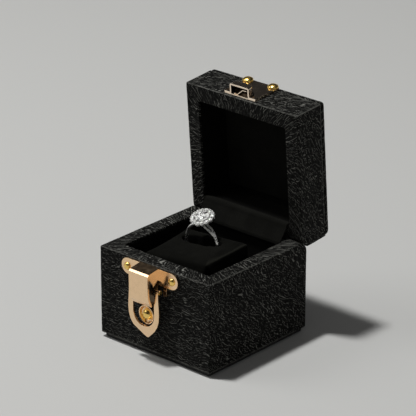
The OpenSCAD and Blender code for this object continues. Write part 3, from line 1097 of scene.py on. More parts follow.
class Repeats:
    """Geometry Nodes trees that set one part on many spots."""

    _made: dict[str, bpy.types.NodeTree] = {}

    @classmethod
    def tree(cls, name: str) -> bpy.types.NodeTree:
        """The named tree, built at its first use."""
        if name not in cls._made:
            cls._made[name] = getattr(cls, "_" + name)()
        return cls._made[name]

    @staticmethod
    def _start(name: str, sizes: dict[str, float]) -> tuple[Graph, bpy.types.Node]:
        """A tree with a geometry, a material and named sizes as inputs.

        Args:
            name: The tree's name.
            sizes: Each size's name and default.

        Returns:
            The graph and the node that holds the tree's inputs.
        """
        tree = bpy.data.node_groups.new(name, "GeometryNodeTree")
        sockets = tree.interface
        sockets.new_socket("Geometry", in_out="INPUT", socket_type="NodeSocketGeometry")
        sockets.new_socket("Finish", in_out="INPUT", socket_type="NodeSocketMaterial")
        for key, value in sizes.items():
            socket = sockets.new_socket(key, in_out="INPUT", socket_type="NodeSocketFloat")
            socket.default_value = value
        sockets.new_socket("Geometry", in_out="OUTPUT", socket_type="NodeSocketGeometry")
        graph = Graph(tree)
        return graph, graph.add("NodeGroupInput")

    @staticmethod
    def _place(graph: Graph, entry: bpy.types.Node, part: Socket, smooth: bool) -> bpy.types.NodeTree:
        """Sets the part on every spot, makes the result real and gives it the finish.

        Args:
            graph: The tree's graph.
            entry: The node that holds the tree's inputs.
            part: The part to repeat.
            smooth: True for smooth faces.

        Returns:
            The finished tree.
        """
        way, size = (
            graph.add("GeometryNodeInputNamedAttribute", {"Name": name}, data_type="FLOAT_VECTOR")
            for name in ("way", "size")
        )
        turn = graph.add("FunctionNodeAlignRotationToVector", {"Vector": way.outputs[0]}, axis="Z")
        placed = graph.add("GeometryNodeInstanceOnPoints", {
            "Points": entry.outputs["Geometry"],
            "Instance": part,
            "Rotation": turn.outputs[0],
            "Scale": size.outputs[0],
        })
        real = graph.add("GeometryNodeRealizeInstances", {0: placed.outputs[0]}).outputs[0]
        shaded = graph.add("GeometryNodeSetShadeSmooth", {"Geometry": real, "Shade Smooth": smooth})
        values = {"Geometry": shaded.outputs[0], "Material": entry.outputs["Finish"]}
        graph.add("NodeGroupOutput", {0: graph.add("GeometryNodeSetMaterial", values).outputs[0]})
        return graph.tree

    @classmethod
    def _domed_heads(cls) -> bpy.types.NodeTree:
        """Domed nail heads, flat underneath.

        Returns:
            The group's tree.
        """
        graph, entry = cls._start("domed_heads", {"Under": 0.1})
        ball = graph.add("GeometryNodeMeshUVSphere", {"Segments": 40, "Rings": 20, "Radius": 1.0})
        place = graph.add("GeometryNodeInputPosition").outputs[0]
        x, y, z = graph.add("ShaderNodeSeparateXYZ", {0: place}).outputs
        floor = graph.math("MULTIPLY", entry.outputs["Under"], -1.0)
        flat = graph.add("ShaderNodeCombineXYZ", {0: x, 1: y, 2: graph.math("MAXIMUM", z, floor)})
        values = {"Geometry": ball.outputs["Mesh"], "Position": flat.outputs[0]}
        return cls._place(graph, entry, graph.add("GeometryNodeSetPosition", values).outputs[0], True)

    @classmethod
    def _cut_stones(cls) -> bpy.types.NodeTree:
        """Small eight-sided cut stones with a flat table and a pointed back.

        Returns:
            The group's tree.
        """
        graph, entry = cls._start("cut_stones", {"Table": 0.55, "Crown": 0.42, "Depth": 0.7})
        table, height, depth = (entry.outputs[key] for key in ("Table", "Crown", "Depth"))
        sizes = {"Vertices": 8, "Side Segments": 1, "Fill Segments": 1}
        crown = {**sizes, "Radius Top": table, "Radius Bottom": 1.0, "Depth": height}
        back = {**sizes, "Radius Top": 1.0, "Radius Bottom": 0.04, "Depth": depth}
        top = graph.add("GeometryNodeMeshCone", crown).outputs["Mesh"]
        under = graph.add("GeometryNodeMeshCone", back).outputs["Mesh"]
        down = graph.add("ShaderNodeCombineXYZ", {2: graph.math("MULTIPLY", depth, -1.0)}).outputs[0]
        moved = graph.add("GeometryNodeTransform", {"Geometry": under, "Translation": down}).outputs[0]
        join = graph.add("GeometryNodeJoinGeometry")
        for part in (top, moved):
            graph.feed(join, {0: part})
        return cls._place(graph, entry, join.outputs[0], False)

    @classmethod
    def on(
        cls, name: str, kind: str, spots: Sequence[Spot], finish: Finish, **sizes: float
    ) -> bpy.types.Object:
        """Sets one kind of part on its spots and returns the result as a plain mesh.

        Args:
            name: The new piece's name.
            kind: The tree to use.
            spots: Where the parts go.
            finish: Their finish.
            sizes: Values for the tree's named inputs.

        Returns:
            The new object.
        """
        mesh = bpy.data.meshes.new(name)
        mesh.from_pydata([spot.at * MM for spot in spots], [], [])
        triples = [(spot.radius * MM, spot.radius * MM, spot.height * MM) for spot in spots]
        for key, vectors in (("way", [spot.way for spot in spots]), ("size", triples)):
            attribute = mesh.attributes.new(key, "FLOAT_VECTOR", "POINT")
            attribute.data.foreach_set("vector", [c for vector in vectors for c in vector])
        obj = new_object(name, mesh)
        modifier = obj.modifiers.new("repeats", "NODES")
        modifier.node_group = cls.tree(kind)
        given = {"Finish": finish.material(), **{key.capitalize(): value for key, value in sizes.items()}}
        for item in modifier.node_group.interface.items_tree:
            if item.in_out == "INPUT" and item.name in given:
                modifier[item.identifier] = given[item.name]
        return baked(obj)


def tube(shape: bmesh.types.BMesh, line: Sequence[Vector], radii: Sequence[float], sides: int = 18) -> None:
    """Adds a capped tube along a line to a bmesh, in millimetres.

    Args:
        shape: The bmesh that gets the tube.
        line: Points of the centre line.
        radii: Radius at each point.
        sides: Faces round the tube.
    """
    aside = (line[1] - line[0]).orthogonal().normalized()
    rings = []
    for k, p in enumerate(line):
        along = (line[min(k + 1, len(line) - 1)] - line[max(k - 1, 0)]).normalized()
        aside = (aside - along * aside.dot(along)).normalized()
        other = along.cross(aside)
        angles = [2 * math.pi * n / sides for n in range(sides)]
        ring = [p + (aside * math.cos(a) + other * math.sin(a)) * radii[k] for a in angles]
        rings.append([shape.verts.new(q * MM) for q in ring])
    for lower, upper in zip(rings, rings[1:]):
        for k in range(sides):
            n = (k + 1) % sides
            shape.faces.new((lower[k], lower[n], upper[n], upper[k]))
    shape.faces.new(list(reversed(rings[0])))
    shape.faces.new(rings[-1])


def lathe(
    shape: bmesh.types.BMesh, line: Sequence[tuple[float, float]], place: Matrix, wave: float, waves: int
) -> None:
    """Adds a turned ring to a bmesh, its outside scalloped, in millimetres.

    Args:
        shape: The bmesh that gets the ring.
        line: Closed section as radius and height.
        place: Where the ring's own frame stands.
        wave: Depth of the scallops, as a share of the radius.
        waves: Number of scallops.
    """
    steps = waves * 8
    rings = []
    for k in range(steps):
        a = 2 * math.pi * k / steps
        grow = 1 + wave * math.cos(waves * a)
        spots = [Vector((math.cos(a) * r * grow, math.sin(a) * r * grow, z)) for r, z in line]
        rings.append([shape.verts.new((place @ q) * MM) for q in spots])
    for lower, upper in zip(rings, rings[1:] + rings[:1]):
        for k in range(len(line)):
            n = (k + 1) % len(line)
            shape.faces.new((lower[k], upper[k], upper[n], lower[n]))


# ---- the case ----


@dataclass
class LeatherCase:
    """The leather over the base and the lid, in millimetres; lid moves lid coordinates to the open lid."""

    lid: Matrix
    half: float = 30.0
    rim: float = 40.85
    foot: float = 1.9
    corner: float = 0.7
    skin: float = 1.2
    rim_skin: float = 1.1
    step: float = 0.6
    relief: float = 0.12
    sharp: float = 50.0
    edge_in: float = 0.15
    cut: float = 3.5
    cut_soft: float = 0.3
    barrel: float = 17.7
    pocket: float = 2.0
    pocket_behind: float = 0.3
    pocket_reach: float = 4.0
    lid_low: float = 0.15
    lid_top: float = 15.3
    lid_high: float = 17.5
    back_round: float = 4.2
    seam_high: float = 0.4
    seam_deep: float = 1.25
    board_r: float = 1.4
    board_step: float = 0.55

    def build(self) -> None:
        """Makes the base's leather, the lid's leather and the board on the lid."""
        self.base_hide()
        self.lid_hide()
        self.lid_board()

    def wall(self, inset: float, z: float, radius: float | None = None) -> Loop:
        """A loop at an inset from the outer walls."""
        h = self.half - inset
        return Loop(-h, h, -h, h, max(self.corner - inset, 0.15) if radius is None else radius, z)

    def on_rim(self, p: Vector) -> bool:
        """Whether a point belongs to the flat rim rather than to a wall."""
        return max(abs(p.x), abs(p.y)) < self.half - 0.5

    def rim_mark(self, p: Vector) -> float:
        """One on the rims and zero on the walls."""
        return float(self.on_rim(p))

    def crease_highlight_mark(self, p: Vector) -> float:
        """How strongly the painted highlight on the base's crease flanks shows: most on the rim, least on the
        front and back walls.
        """
        if self.on_rim(p):
            return 1.05
        return 0.8 if abs(p.x) > abs(p.y) else 0.5

    def lid_crease_highlight(self, p: Vector) -> float:
        """How strongly the painted highlight on the lid's crease flanks shows: most on the front wall."""
        return 0.9 if p.y < -self.half + 0.6 and not self.on_rim(p) else 0.75

    def lie_mark(self, p: Vector) -> float:
        """Which way the base's creases run from the level, in radians."""
        return 0.55 if abs(p.x) > abs(p.y) else -0.15

    def edge_highlight_of(self, z: float) -> Callable[[Vector], float]:
        """A painted highlight mark that is high along the outer edge at a height z, broken up along its
        length.

        Args:
            z: Height of the edge.

        Returns:
            The mark, a function of a point.
        """

        def mark(p: Vector) -> float:
            """Painted highlight by nearness to the edge, nothing at the back."""
            out = self.half - max(abs(p.x), abs(p.y))
            away = math.hypot(out, p.z - z) - self.edge_in
            broken = 0.55 + 0.8 * swell(p, 1.1, 2.0) + 0.3 * swell(p, 6.0, 1.0)
            at_back = 2.0 if p.y > 24 else 0.0
            return share(broken - at_back) * max(0.0, 1 - abs(away) / 0.34)

        return mark

    def raised(self, p: Vector, q: Vector, rim_way: float) -> Vector:
        """Lets a point that shows rise and sink a little with the skin.

        Args:
            p: The point before it was shaped.
            q: The point after the cuts.
            rim_way: Sign of z that faces out of the rim.

        Returns:
            The moved point.
        """
        if self.on_rim(p):
            out = Vector((0.0, 0.0, rim_way))
        elif abs(p.x) > abs(p.y):
            out = Vector((math.copysign(1.0, p.x), 0.0, 0.0))
        else:
            out = Vector((0.0, math.copysign(1.0, p.y), 0.0))
        wave = 0.6 * swell(p, 6.0, 3.1) + 0.4 * swell(p, 1.9, 8.4)
        return q + out * self.relief * (wave - 0.8)

    def cut_back(self, q: Vector, over: float, way: Vector, hidden: bool) -> Vector:
        """Cuts off what stands out past the slanted back edge.

        Args:
            q: The point to cut.
            over: How far it stands past the cut.
            way: Diagonal way out of the cut, the square root of two long.
            hidden: True where the skin is out of sight and the cut may be sharp.

        Returns:
            The point on or behind the cut.
        """
        if over <= -0.6:
            return q
        soft = max(over, 0.0) if hidden else self.cut_soft * math.log1p(math.exp(over / self.cut_soft))
        return q - way / math.sqrt(2) * soft

    def clear_of_barrel(self, x: float, y: float, hidden: bool) -> float | None:
        """How far from the axis a skin stays, at a distance y beside it, or None off the barrel.

        Args:
            x: Way along the hinge from its middle.
            y: Way from the hinge axis, front to back.
            hidden: True for the inner side of the skin.

        Returns:
            The distance, or None where the barrel isn't near.
        """
        room = self.pocket + (self.pocket_behind if hidden else 0.0)
        if abs(x) < self.barrel and abs(y) < room:
            return math.sqrt(room**2 - y**2)
        return None

    def base_point(self, p: Vector) -> Vector:
        """Cuts the back edge, leaves room for the hinge barrel and rumples the skin.

        Args:
            p: A point of the swept skin.

        Returns:
            Its final place, in millimetres.
        """
        hidden = self.behind(p) and p.z < self.rim - 0.3
        over = (p.y - HINGE_Y + p.z - HINGE_Z) / math.sqrt(2) + (self.skin if hidden else 0.0)
        q = self.cut_back(p.copy(), over, Vector((0.0, 1.0, 1.0)), hidden)
        clear = self.clear_of_barrel(q.x, q.y - HINGE_Y, hidden)
        if clear is not None and q.z > HINGE_Z - self.pocket_reach:
            q.z = min(q.z, HINGE_Z - clear)
        return q if hidden else self.raised(p, q, 1.0)

    def behind(self, p: Vector) -> bool:
        """Whether a point lies on the inner side of the skin of the walls, or further in."""
        return max(abs(p.x), abs(p.y)) <= self.half - self.skin + 0.01

    def over_walls(
        self, mouth: Sequence[float], mouth_r: float, rim: float, turn: float, end: float, end_r: float
    ) -> list[Loop]:
        """The profile of a skin that goes along the walls, over the rim and back behind both.

        Args:
            mouth: The sides of the opening in the rim: left, right, front and back.
            mouth_r: Radius of the opening's corners.
            rim: Height of the rim.
            turn: Way from the rim to the back of its skin, along z.
            end: Height of the walls' other end.
            end_r: Radius of the turn at that end.

        Returns:
            The loops of the closed profile.
        """
        points = [
            (self.wall(0.0, end), end_r),
            (self.wall(0.0, rim), 0.7),
            (Loop(*mouth, mouth_r, rim), 0.45),
            (Loop(*mouth, mouth_r, rim + turn), 0.0),
            (self.wall(self.skin, rim + turn), 0.0),
            (self.wall(self.skin, end), 0.0),
        ]
        return profile(points, True)

    def base_hide(self) -> None:
        """Leather over the four walls and the rim of the base."""
        lo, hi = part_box("base_lining")
        mouth = (lo.x / MM + 1.0, hi.x / MM - 1.0, lo.y / MM + 1.0, hi.y / MM - 1.0)
        loops = self.over_walls(mouth, 0.5, self.rim, -self.rim_skin, self.foot, 0.5)
        # Painted highlights along the rim's outer edge and along the foot.
        edge = self.edge_highlight_of(self.rim)
        foot = self.edge_highlight_of(self.foot + 0.5)
        marks = {
            "rim": self.rim_mark,
            "crease": self.crease_highlight_mark,
            "lie": self.lie_mark,
            "edge": lambda p: max(edge(p), foot(p)),
        }
        skin = Skin(loops, self.step, True, self.base_point, marks, visible_rows=len(loops) - 2)
        skin.piece("base_hide", LEATHER, "base_leather", sharp=self.sharp)

    def lid_point(self, p: Vector) -> Vector:
        """Shapes a point of the lid in lid coordinates: back cut, rounded back edge, hinge room.

        Args:
            p: A point of the swept skin.

        Returns:
            Its final place from the hinge axis, in millimetres.
        """
        y = p.y - HINGE_Y
        hidden = p.z > self.lid_low + 0.5 and self.behind(p)
        over = (y - p.z) / math.sqrt(2) + (self.skin if hidden else 0.0)
        q = self.cut_back(Vector((p.x, y, p.z)), over, Vector((0.0, 1.0, -1.0)), hidden)
        middle = Vector((0.0, self.cut - self.back_round, self.lid_high - self.back_round))
        from_middle = Vector((0.0, q.y - middle.y, q.z - middle.z))
        limit = self.back_round - (self.skin if hidden else 0.0)
        if from_middle.y > 0 and from_middle.z > 0 and from_middle.length > limit:
            kept = from_middle.normalized() * limit
            q = Vector((q.x, middle.y + kept.y, middle.z + kept.z))
        clear = self.clear_of_barrel(q.x, q.y, hidden)
        if clear is not None and q.z < self.pocket_reach:
            q.z = max(q.z, clear)
        return q if hidden else self.raised(p, q, -1.0)

    def lid_hide(self) -> None:
        """Leather over the walls and the rim of the lid."""
        front, back, side = -49.3 + HINGE_Y, -5.5 + HINGE_Y, 23.3
        mouth = (-side, side, front, back)
        loops = self.over_walls(mouth, 0.6, self.lid_low, self.rim_skin, self.lid_top, 0.35)
        low, high = self.edge_highlight_of(self.lid_low), self.edge_highlight_of(self.lid_top)

        def edges(p: Vector) -> float:
            """The painted edge highlights: along the front, up the front corners and beside the board's seam.
            """
            corner = math.hypot(self.half - abs(p.x), self.half + p.y) - self.edge_in
            in_front = low(p) if p.y < -self.half + 1 else 0.0
            return max(in_front, high(p), 0.8 * max(0.0, 1 - abs(corner) / 0.4))

        marks = {"rim": self.rim_mark, "crease": self.lid_crease_highlight, "lie": lambda p: 0.3, "edge": edges}
        skin = Skin(loops, self.step, True, self.lid_point, marks, visible_rows=len(loops) - 2)
        skin.piece("lid_hide", LEATHER, "lid_leather", self.lid, self.sharp)

    def lid_board(self) -> None:
        """The leather-covered board on top of the lid, with its softened edge."""
        low = self.lid_top + self.seam_high
        points = [
            (self.wall(self.seam_deep, self.lid_top), 0.0),
            (self.wall(self.seam_deep, low, 0.3), 0.0),
            (self.wall(0.0, low, self.board_r), 0.6),
            (self.wall(0.0, self.lid_high, self.board_r), 0.8),
            (self.wall(self.half - 1.0, self.lid_high, 0.2), 0.0),
        ]
        marks = {
            "crease": lambda p: 0.75,
            "lie": lambda p: 0.3,
            "edge": self.edge_highlight_of(self.lid_high),
        }
        skin = Skin(profile(points, False), self.board_step, False, self.lid_point, marks)
        skin.piece("lid_board_hide", LEATHER, "lid_top_board", self.lid, self.sharp)


# ---- velvet ----


@dataclass
class VelvetInside:
    """Lining, cushion, lid panel and the fabric over the hinge, in millimetres."""

    lid: Matrix
    step: float = 1.0
    card: float = 1.2
    lining_r: float = 0.9
    recess_floor: float = 26.8
    pad_r: float = 2.0
    lid_middle: Sides = (-1.0, 1.0, -28.0, -26.0)
    slit_at: tuple[float, float] = (-1.85, 1.0)
    slit_half: tuple[float, float] = (10.4, 3.3)
    slit_deep: float = 34.0
    sheen_edge_from: float = 10.0
    back_rise: float = 2.8
    left_full: float = 2.6
    front_full: float = 1.5
    sim_scale: float = 16.0
    strip_width: float = 45.0
    strip_thick: float = 0.45
    strip_path: tuple[tuple[float, float], ...] = (
        (21.25, 39.3),
        (21.35, 40.5),
        (22.0, 41.2),
        (25.2, 45.4),
        (25.6, 46.7),
        (26.5, 47.3),
        (28.6, 47.1),
    )

    def build(self) -> None:
        """Makes every soft piece."""
        self.base_lining()
        self.lid_lining()
        self.lid_pad()
        self.cushion()
        self.hinge_strip()

    def tray(self, middle: Sides, inner: Sides, outer: Sides, floor: float, rim: float, under: float) -> Skin:
        """A lined tray: its floor, its walls, its rim and the outside of its card.

        Args:
            middle: The sides of the small first loop on the floor.
            inner: The sides of the tray inside.
            outer: The sides of the card outside.
            floor: Height of the floor.
            rim: Height of the rim.
            under: Height of the card's other edge.

        Returns:
            The skin.
        """
        points = [
            (Loop(*middle, MIDDLE_R, floor), 0.0),
            (Loop(*inner, self.lining_r, floor), 0.9),
            (Loop(*inner, self.lining_r, rim), 0.35),
            (Loop(*outer, self.card, rim), 0.0),
            (Loop(*outer, self.card, under), 0.0),
        ]
        return Skin(profile(points, False), self.step, False, self.lining_point)

    def base_lining(self) -> None:
        """Velvet-covered card round the recess."""
        lo, hi = (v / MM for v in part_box("base_lining"))
        outer = (lo.x, hi.x, lo.y, hi.y)
        inner = (lo.x + self.card, hi.x - self.card, lo.y + self.card, hi.y - self.card)
        skin = self.tray(MIDDLE, inner, outer, self.recess_floor, hi.z, lo.z)
        skin.piece("recess_velvet", VELVET, "base_lining")

    def lining_point(self, p: Vector) -> Vector:
        """A slight waviness of the lining's walls."""
        return p + Vector((swell(p, 9, 1.0), swell(p, 9, 4.0), 0.0)) * 0.12

    def lid_lining(self) -> None:
        """Velvet-covered card inside the lid."""
        side, front, back = 23.1, -49.1, -5.7
        low, ceiling = 1.3, 13.9
        inner = (-side, side, front, back)
        outer = (-side - self.card, side + self.card, front - self.card, back + self.card)
        skin = self.tray(self.lid_middle, inner, outer, ceiling, low, ceiling + 0.6)
        skin.piece("lid_velvet", VELVET, "lid_lining", self.lid)

    def lid_pad(self) -> None:
        """The thin padded panel in the lid, crowned toward its middle."""
        side, front, back = 20.5, -46.5, -8.3
        low, high = 13.2, 13.85
        middle, reach = (front + back) / 2, (back - front) / 2
        points = [
            (Loop(-side, side, front, back, self.pad_r, high), 0.0),
            (Loop(-side, side, front, back, self.pad_r, low), 0.45),
            (Loop(*self.lid_middle, MIDDLE_R, low), 0.0),
        ]

        def crown(p: Vector) -> Vector:
            """Raises the middle of the panel and rumples it."""
            if p.z > high - 0.25:
                return p
            full = max(0.0, 1 - (p.x / side) ** 4) * max(0.0, 1 - ((p.y - middle) / reach) ** 4)
            return p + Vector((0, 0, -0.35 * full + 0.05 * swell(p, 6, 2.0)))

        skin = Skin(profile(points, False), self.step, False, crown)
        obj = skin.piece("lid_panel", PAD_VELVET, "lid_pad", self.lid)

    def cushion(self) -> None:
        """The slotted cushion, the lips of its slot swollen by a short cloth simulation."""
        obj = swollen("ring_cushion", grow=self.sim_scale, voxel=0.75 * MM, cap=0.5 * MM, shrink=0.25 * MM)
        obj.name = "slit_cushion"
        for vert in obj.data.vertices:
            vert.co = self.pushed(vert.co / MM) * MM
        obj.data.update()
        self.mark_cushion(obj.data)
        settle(obj, Body.BASE, CUSHION_VELVET, "ring_cushion")

    def mark_cushion(self, mesh: bpy.types.Mesh) -> None:
        """Marks the points down the slit for painted shade and those along the right edge for a painted sheen
        highlight.

        Args:
            mesh: The cushion's mesh.
        """
        for name in ("slit", "painted_highlight"):
            mesh.attributes.new(name, "FLOAT", "POINT")
        slit, painted_highlight = (mesh.attributes[name].data for name in ("slit", "painted_highlight"))
        (slit_x, slit_y), (reach_x, reach_y) = self.slit_at, self.slit_half
        for vert, slit_shade, edge_sheen in zip(mesh.vertices, slit, painted_highlight):
            at, facing = vert.co / MM, vert.normal
            # Painted shade: full on the slit's floor, and on its walls by how far they face away from up.
            if abs(at.x - slit_x) < reach_x and abs(at.y - slit_y) < reach_y:
                slit_shade.value = 1.0 if at.z < self.slit_deep else share((0.9 - facing.z) / 0.4)
            # Painted sheen highlight on the upper right edge, where the normal faces both right and up.
            elif at.x > self.sheen_edge_from:
                edge_sheen.value = share(4 * min(facing.x, facing.z) - 1.2)

    def pushed(self, p: Vector) -> Vector:
        """Moves a point of the cushion: fuller at the left and front, and pushed up at the back.

        Args:
            p: The point, in millimetres.

        Returns:
            The moved point.
        """
        toward_back = share((p.y + 15) / 25) ** 1.6
        rise = self.back_rise * toward_back * (0.45 + 0.55 * (15 - p.x) / 30)
        left = self.left_full * share((-p.x - 11.0) / 5.0)
        front = self.front_full * share((-p.y - 3.0) / 12.0)
        return p + Vector((-left, -front, rise * share((p.z - 30) / 7)))

    def hinge_strip(self) -> None:
        """Velvet over the hinge, from the back of the recess up to the lid's opening."""
        line = chaikin([Vector((0, y, z)) for y, z in self.strip_path], 3)
        rows, columns = len(line) - 1, 60
        shape = bmesh.new()
        layers = (0.0, self.strip_thick)
        sheets = [self.strip_sheet(shape, line, columns, layer) for layer in layers]
        for sheet in sheets:
            for i in range(rows):
                for k in range(columns):
                    shape.faces.new((sheet[i][k], sheet[i][k + 1], sheet[i + 1][k + 1], sheet[i + 1][k]))
        for corners in self.border(*sheets, rows, columns):
            shape.faces.new(corners)
        bmesh.ops.recalc_face_normals(shape, faces=shape.faces)
        obj = mesh_object("hinge_velvet", shape, 60)
        obj.data.materials.append(PAD_VELVET.material())
        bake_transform(obj)
        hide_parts("hinge_cover_lower", "hinge_cover_upper")
        LOG.info("hinge_velvet: %d faces between base and lid", len(obj.data.polygons))

    def strip_sheet(
        self, shape: bmesh.types.BMesh, line: Sequence[Vector], columns: int, layer: float
    ) -> list[list[bmesh.types.BMVert]]:
        """Adds the points of one side of the strip, with its slow waves.

        Args:
            shape: The bmesh that gets them.
            line: The strip's middle line from the recess to the lid.
            columns: Number of faces across.
            layer: Depth of this side below the outer one.

        Returns:
            The points by row and column.
        """
        rows = len(line) - 1
        xs = [(k / columns - 0.5) * self.strip_width for k in range(columns + 1)]
        sheet = []
        for i, p in enumerate(line):
            along = (line[min(i + 1, rows)] - line[max(i - 1, 0)]).normalized()
            out = Vector((0, -along.z, along.y))
            free = math.sin(math.pi * i / rows)
            waves = [free * 0.3 * swell(Vector((x, 0, i * 0.25)), 6.0, 5.0) for x in xs]
            moved = [p + out * (wave - layer) + Vector((x, 0, 0)) for x, wave in zip(xs, waves)]
            sheet.append([shape.verts.new(q * MM) for q in moved])
        return sheet

    @staticmethod
    def border(top: list, under: list, rows: int, columns: int) -> list[tuple]:
        """The quads that close the edge between two sheets of points.

        Args:
            top: Points of one sheet, by row and column.
            under: Points of the other sheet.
            rows: Number of faces along the sheets.
            columns: Number of faces across.

        Returns:
            The quads' corners.
        """
        ring = [(0, k) for k in range(columns)] + [(i, columns) for i in range(rows)]
        ring += [(rows, columns - k) for k in range(columns)] + [(rows - i, 0) for i in range(rows)]
        pairs = zip(ring, ring[1:] + ring[:1])
        return [(top[i][k], top[m][n], under[m][n], under[i][k]) for (i, k), (m, n) in pairs]


# ---- metal ----


@dataclass
class MetalWork:
    """Latch, keeper and hinge: rounded pressed parts, the bail, nail heads and plain fittings."""

    lid: Matrix
    latch_x: float = -1.6
    wall_y: float = -30.0
    bail_y: float = -33.2
    bail_z: float = 31.6
    nose_root: float = 34.6
    nose_bend: tuple[float, float] = (-37.25, 39.5)
    nose_flat: tuple[float, float] = (-37.05, 39.35)
    nose_slope: float = 0.8
    eye: tuple[float, float] = (6.15, 7.9)
    fold: float = -17.1
    fold_turn: float = 23.0
    window: tuple[float, float, float] = (5.75, -10.85, -4.9)
    half_outline: tuple[tuple[float, float], ...] = (
        (7.9, 0.0), (8.0, -3.0), (8.25, -6.6), (8.4, -9.6), (8.2, -12.4),
        (7.4, -15.0), (5.8, -17.5), (3.1, -20.2), (0.7, -22.5), (0.0, -22.8),
    )
    pressed: tuple[tuple[str, Body, float], ...] = (
        ("latch_plate", Body.BASE, 0.25 * MM),
        ("latch_bridge", Body.BASE, 0.2 * MM),
        ("latch_rosette", Body.BASE, 0.1 * MM),
        ("latch_lugs", Body.BASE, 0.15 * MM),
        ("keeper_plate", Body.LID, 0.25 * MM),
        ("keeper_box", Body.LID, 0.28 * MM),
        ("keeper_spring", Body.LID, 0.08 * MM),
    )
    # Across from the latch's middle, height, how far off the wall, and the dome's radius and height.
    base_nails: tuple[tuple[float, ...], ...] = (
        (-12.15, 36.8, 0.8, 1.65, 1.15),
        (12.15, 36.8, 0.8, 1.65, 1.15),
        (0.0, 19.5, 1.65, 2.5, 2.3),
    )
    keeper_nails: tuple[tuple[float, float], ...] = ((-7.3, 15.2), (5.9, 15.6))
    fittings: tuple[tuple[str, Finish], ...] = (
        ("hinge_leaf_lower", HINGE_BRASS),
        ("hinge_leaf_upper", HINGE_BRASS),
        ("hinge_pin", STEEL),
        ("bail_pins", YELLOW_BRASS),
    )

    def build(self) -> None:
        """Makes the latch, the bail, the keeper and their nails, and dresses the fittings."""
        reshape = {"latch_bridge": self.fold_nose, "latch_plate": self.part_plate}
        bends = {"latch_bridge": 0.25 * MM}
        for node, body, width in self.pressed:
            obj = softened(node, width, bends.get(node, 0.0), reshape.get(node))
            pocket_shade = obj.data.attributes.new("pocket_shade", "FLOAT", "FACE")
            for face, mark in zip(obj.data.polygons, pocket_shade.data):
                mark.value = self.pocket_shade_of(node, face.center / MM, face.normal)
            settle(obj, body, ROSE_GOLD if body is Body.BASE else PALE_ROSE, node)
        self.bail()
        self.nails()
        for node, finish in self.fittings:
            dress_node(node, finish)

    def pocket_shade_of(self, node: str, at: Vector, facing: Vector) -> float:
        """How much painted shade a face gets: full shade inside the nose and inside the keeper.

        Args:
            node: The piece that the face belongs to.
            at: The middle of the face, in millimetres.
            facing: The face's normal.

        Returns:
            One for full painted shade, zero for none.
        """
        # Painted shade over the whole of the lugs.
        if node == "latch_lugs":
            return 1.0
        if node == "latch_plate":
            return float(abs(at.x - self.latch_x) < 4.5 and at.z < self.nose_root)
        if node in ("latch_rosette", "keeper_spring"):
            return 0.0
        if node == "latch_bridge":
            to_middle, reach = Vector((self.latch_x, -33.9, 34.5)) - at, 8.0
        else:
            pocket = Vector((self.latch_x - 0.4, -59.2, 2.9)) * MM
            to_middle, reach = (self.lid @ pocket) / MM - at, 5.6
        close = to_middle.length < reach and abs(to_middle.x) < 5.0
        return float(close and to_middle.normalized().dot(facing) > 0.25)

    def part_plate(self, shape: bmesh.types.BMesh) -> None:
        """Cuts the plate's faces round the nose, so that the part behind the nose can take painted shade."""
        slice_faces(shape, Vector((0, 0, self.nose_root)) * MM, (0, 0, 1))
        for x in (-5.0, 5.0):
            slice_faces(shape, Vector((self.latch_x + x, 0, 0)) * MM, (1, 0, 0))

    def fold_nose(self, shape: bmesh.types.BMesh) -> None:
        """Flattens the nose's front bend and slopes its top up toward the plate's upper edge.

        Args:
            shape: The bridge's bmesh, in metres.
        """
        front, root, low = -36.6, -30.8, 38.4
        (bend_y, bend_z), (flat_y, flat_z) = self.nose_bend, self.nose_flat
        for vert in shape.verts:
            y, z = vert.co.y / MM, vert.co.z / MM
            if abs(y - bend_y) < 0.05 and abs(z - bend_z) < 0.05:
                vert.co.y, vert.co.z = flat_y * MM, flat_z * MM
            elif z > low:
                vert.co.z += self.nose_slope * MM * share((y - front) / (root - front))

    def bent(self, x: float, z: float, back: float) -> Vector:
        """A point of the bail where the bail is bent at its fold.

        Args:
            x: How far it is aside from the bail's middle.
            z: Its height from the pivot, measured along the flat plate.
            back: How far it is behind the bail's front.

        Returns:
            The point at rest.
        """
        turn, run = math.radians(self.fold_turn), 2.6
        radius = run / turn
        front = self.bail_y - 1.3
        t = self.fold + run / 2 - z
        a = min(max(t, 0.0), run) / radius
        over = max(t - run, 0.0)
        y = radius * (1 - math.cos(a)) + over * math.sin(a) + back * math.cos(a)
        down = radius * math.sin(a) + over * math.cos(a) + min(t, 0.0) - back * math.sin(a)
        return Vector((self.latch_x + x, front + y, self.bail_z + self.fold + run / 2 - down))

    def bail_ring(self) -> list[tuple[float, float]]:
        """The bail's flat outline, round its outside and back round its window.

        Returns:
            The points as way aside and height, from the pivot.
        """
        reach, low, high = self.window
        left = [(-x, z) for x, z in self.half_outline]
        outline = [*self.half_outline, *left[-2::-1]][1:-1]
        arc = [math.pi * k / 32 for k in range(33)]
        hole = [(reach * math.cos(a), low - reach * math.sin(a)) for a in arc]
        eye_in, eye_out = self.eye
        inner = [(-eye_out, 0.0), (-eye_in, 0.0), (-eye_in, high), (-reach, high)]
        return outline + inner + list(reversed(hole)) + [(-x, z) for x, z in reversed(inner)]

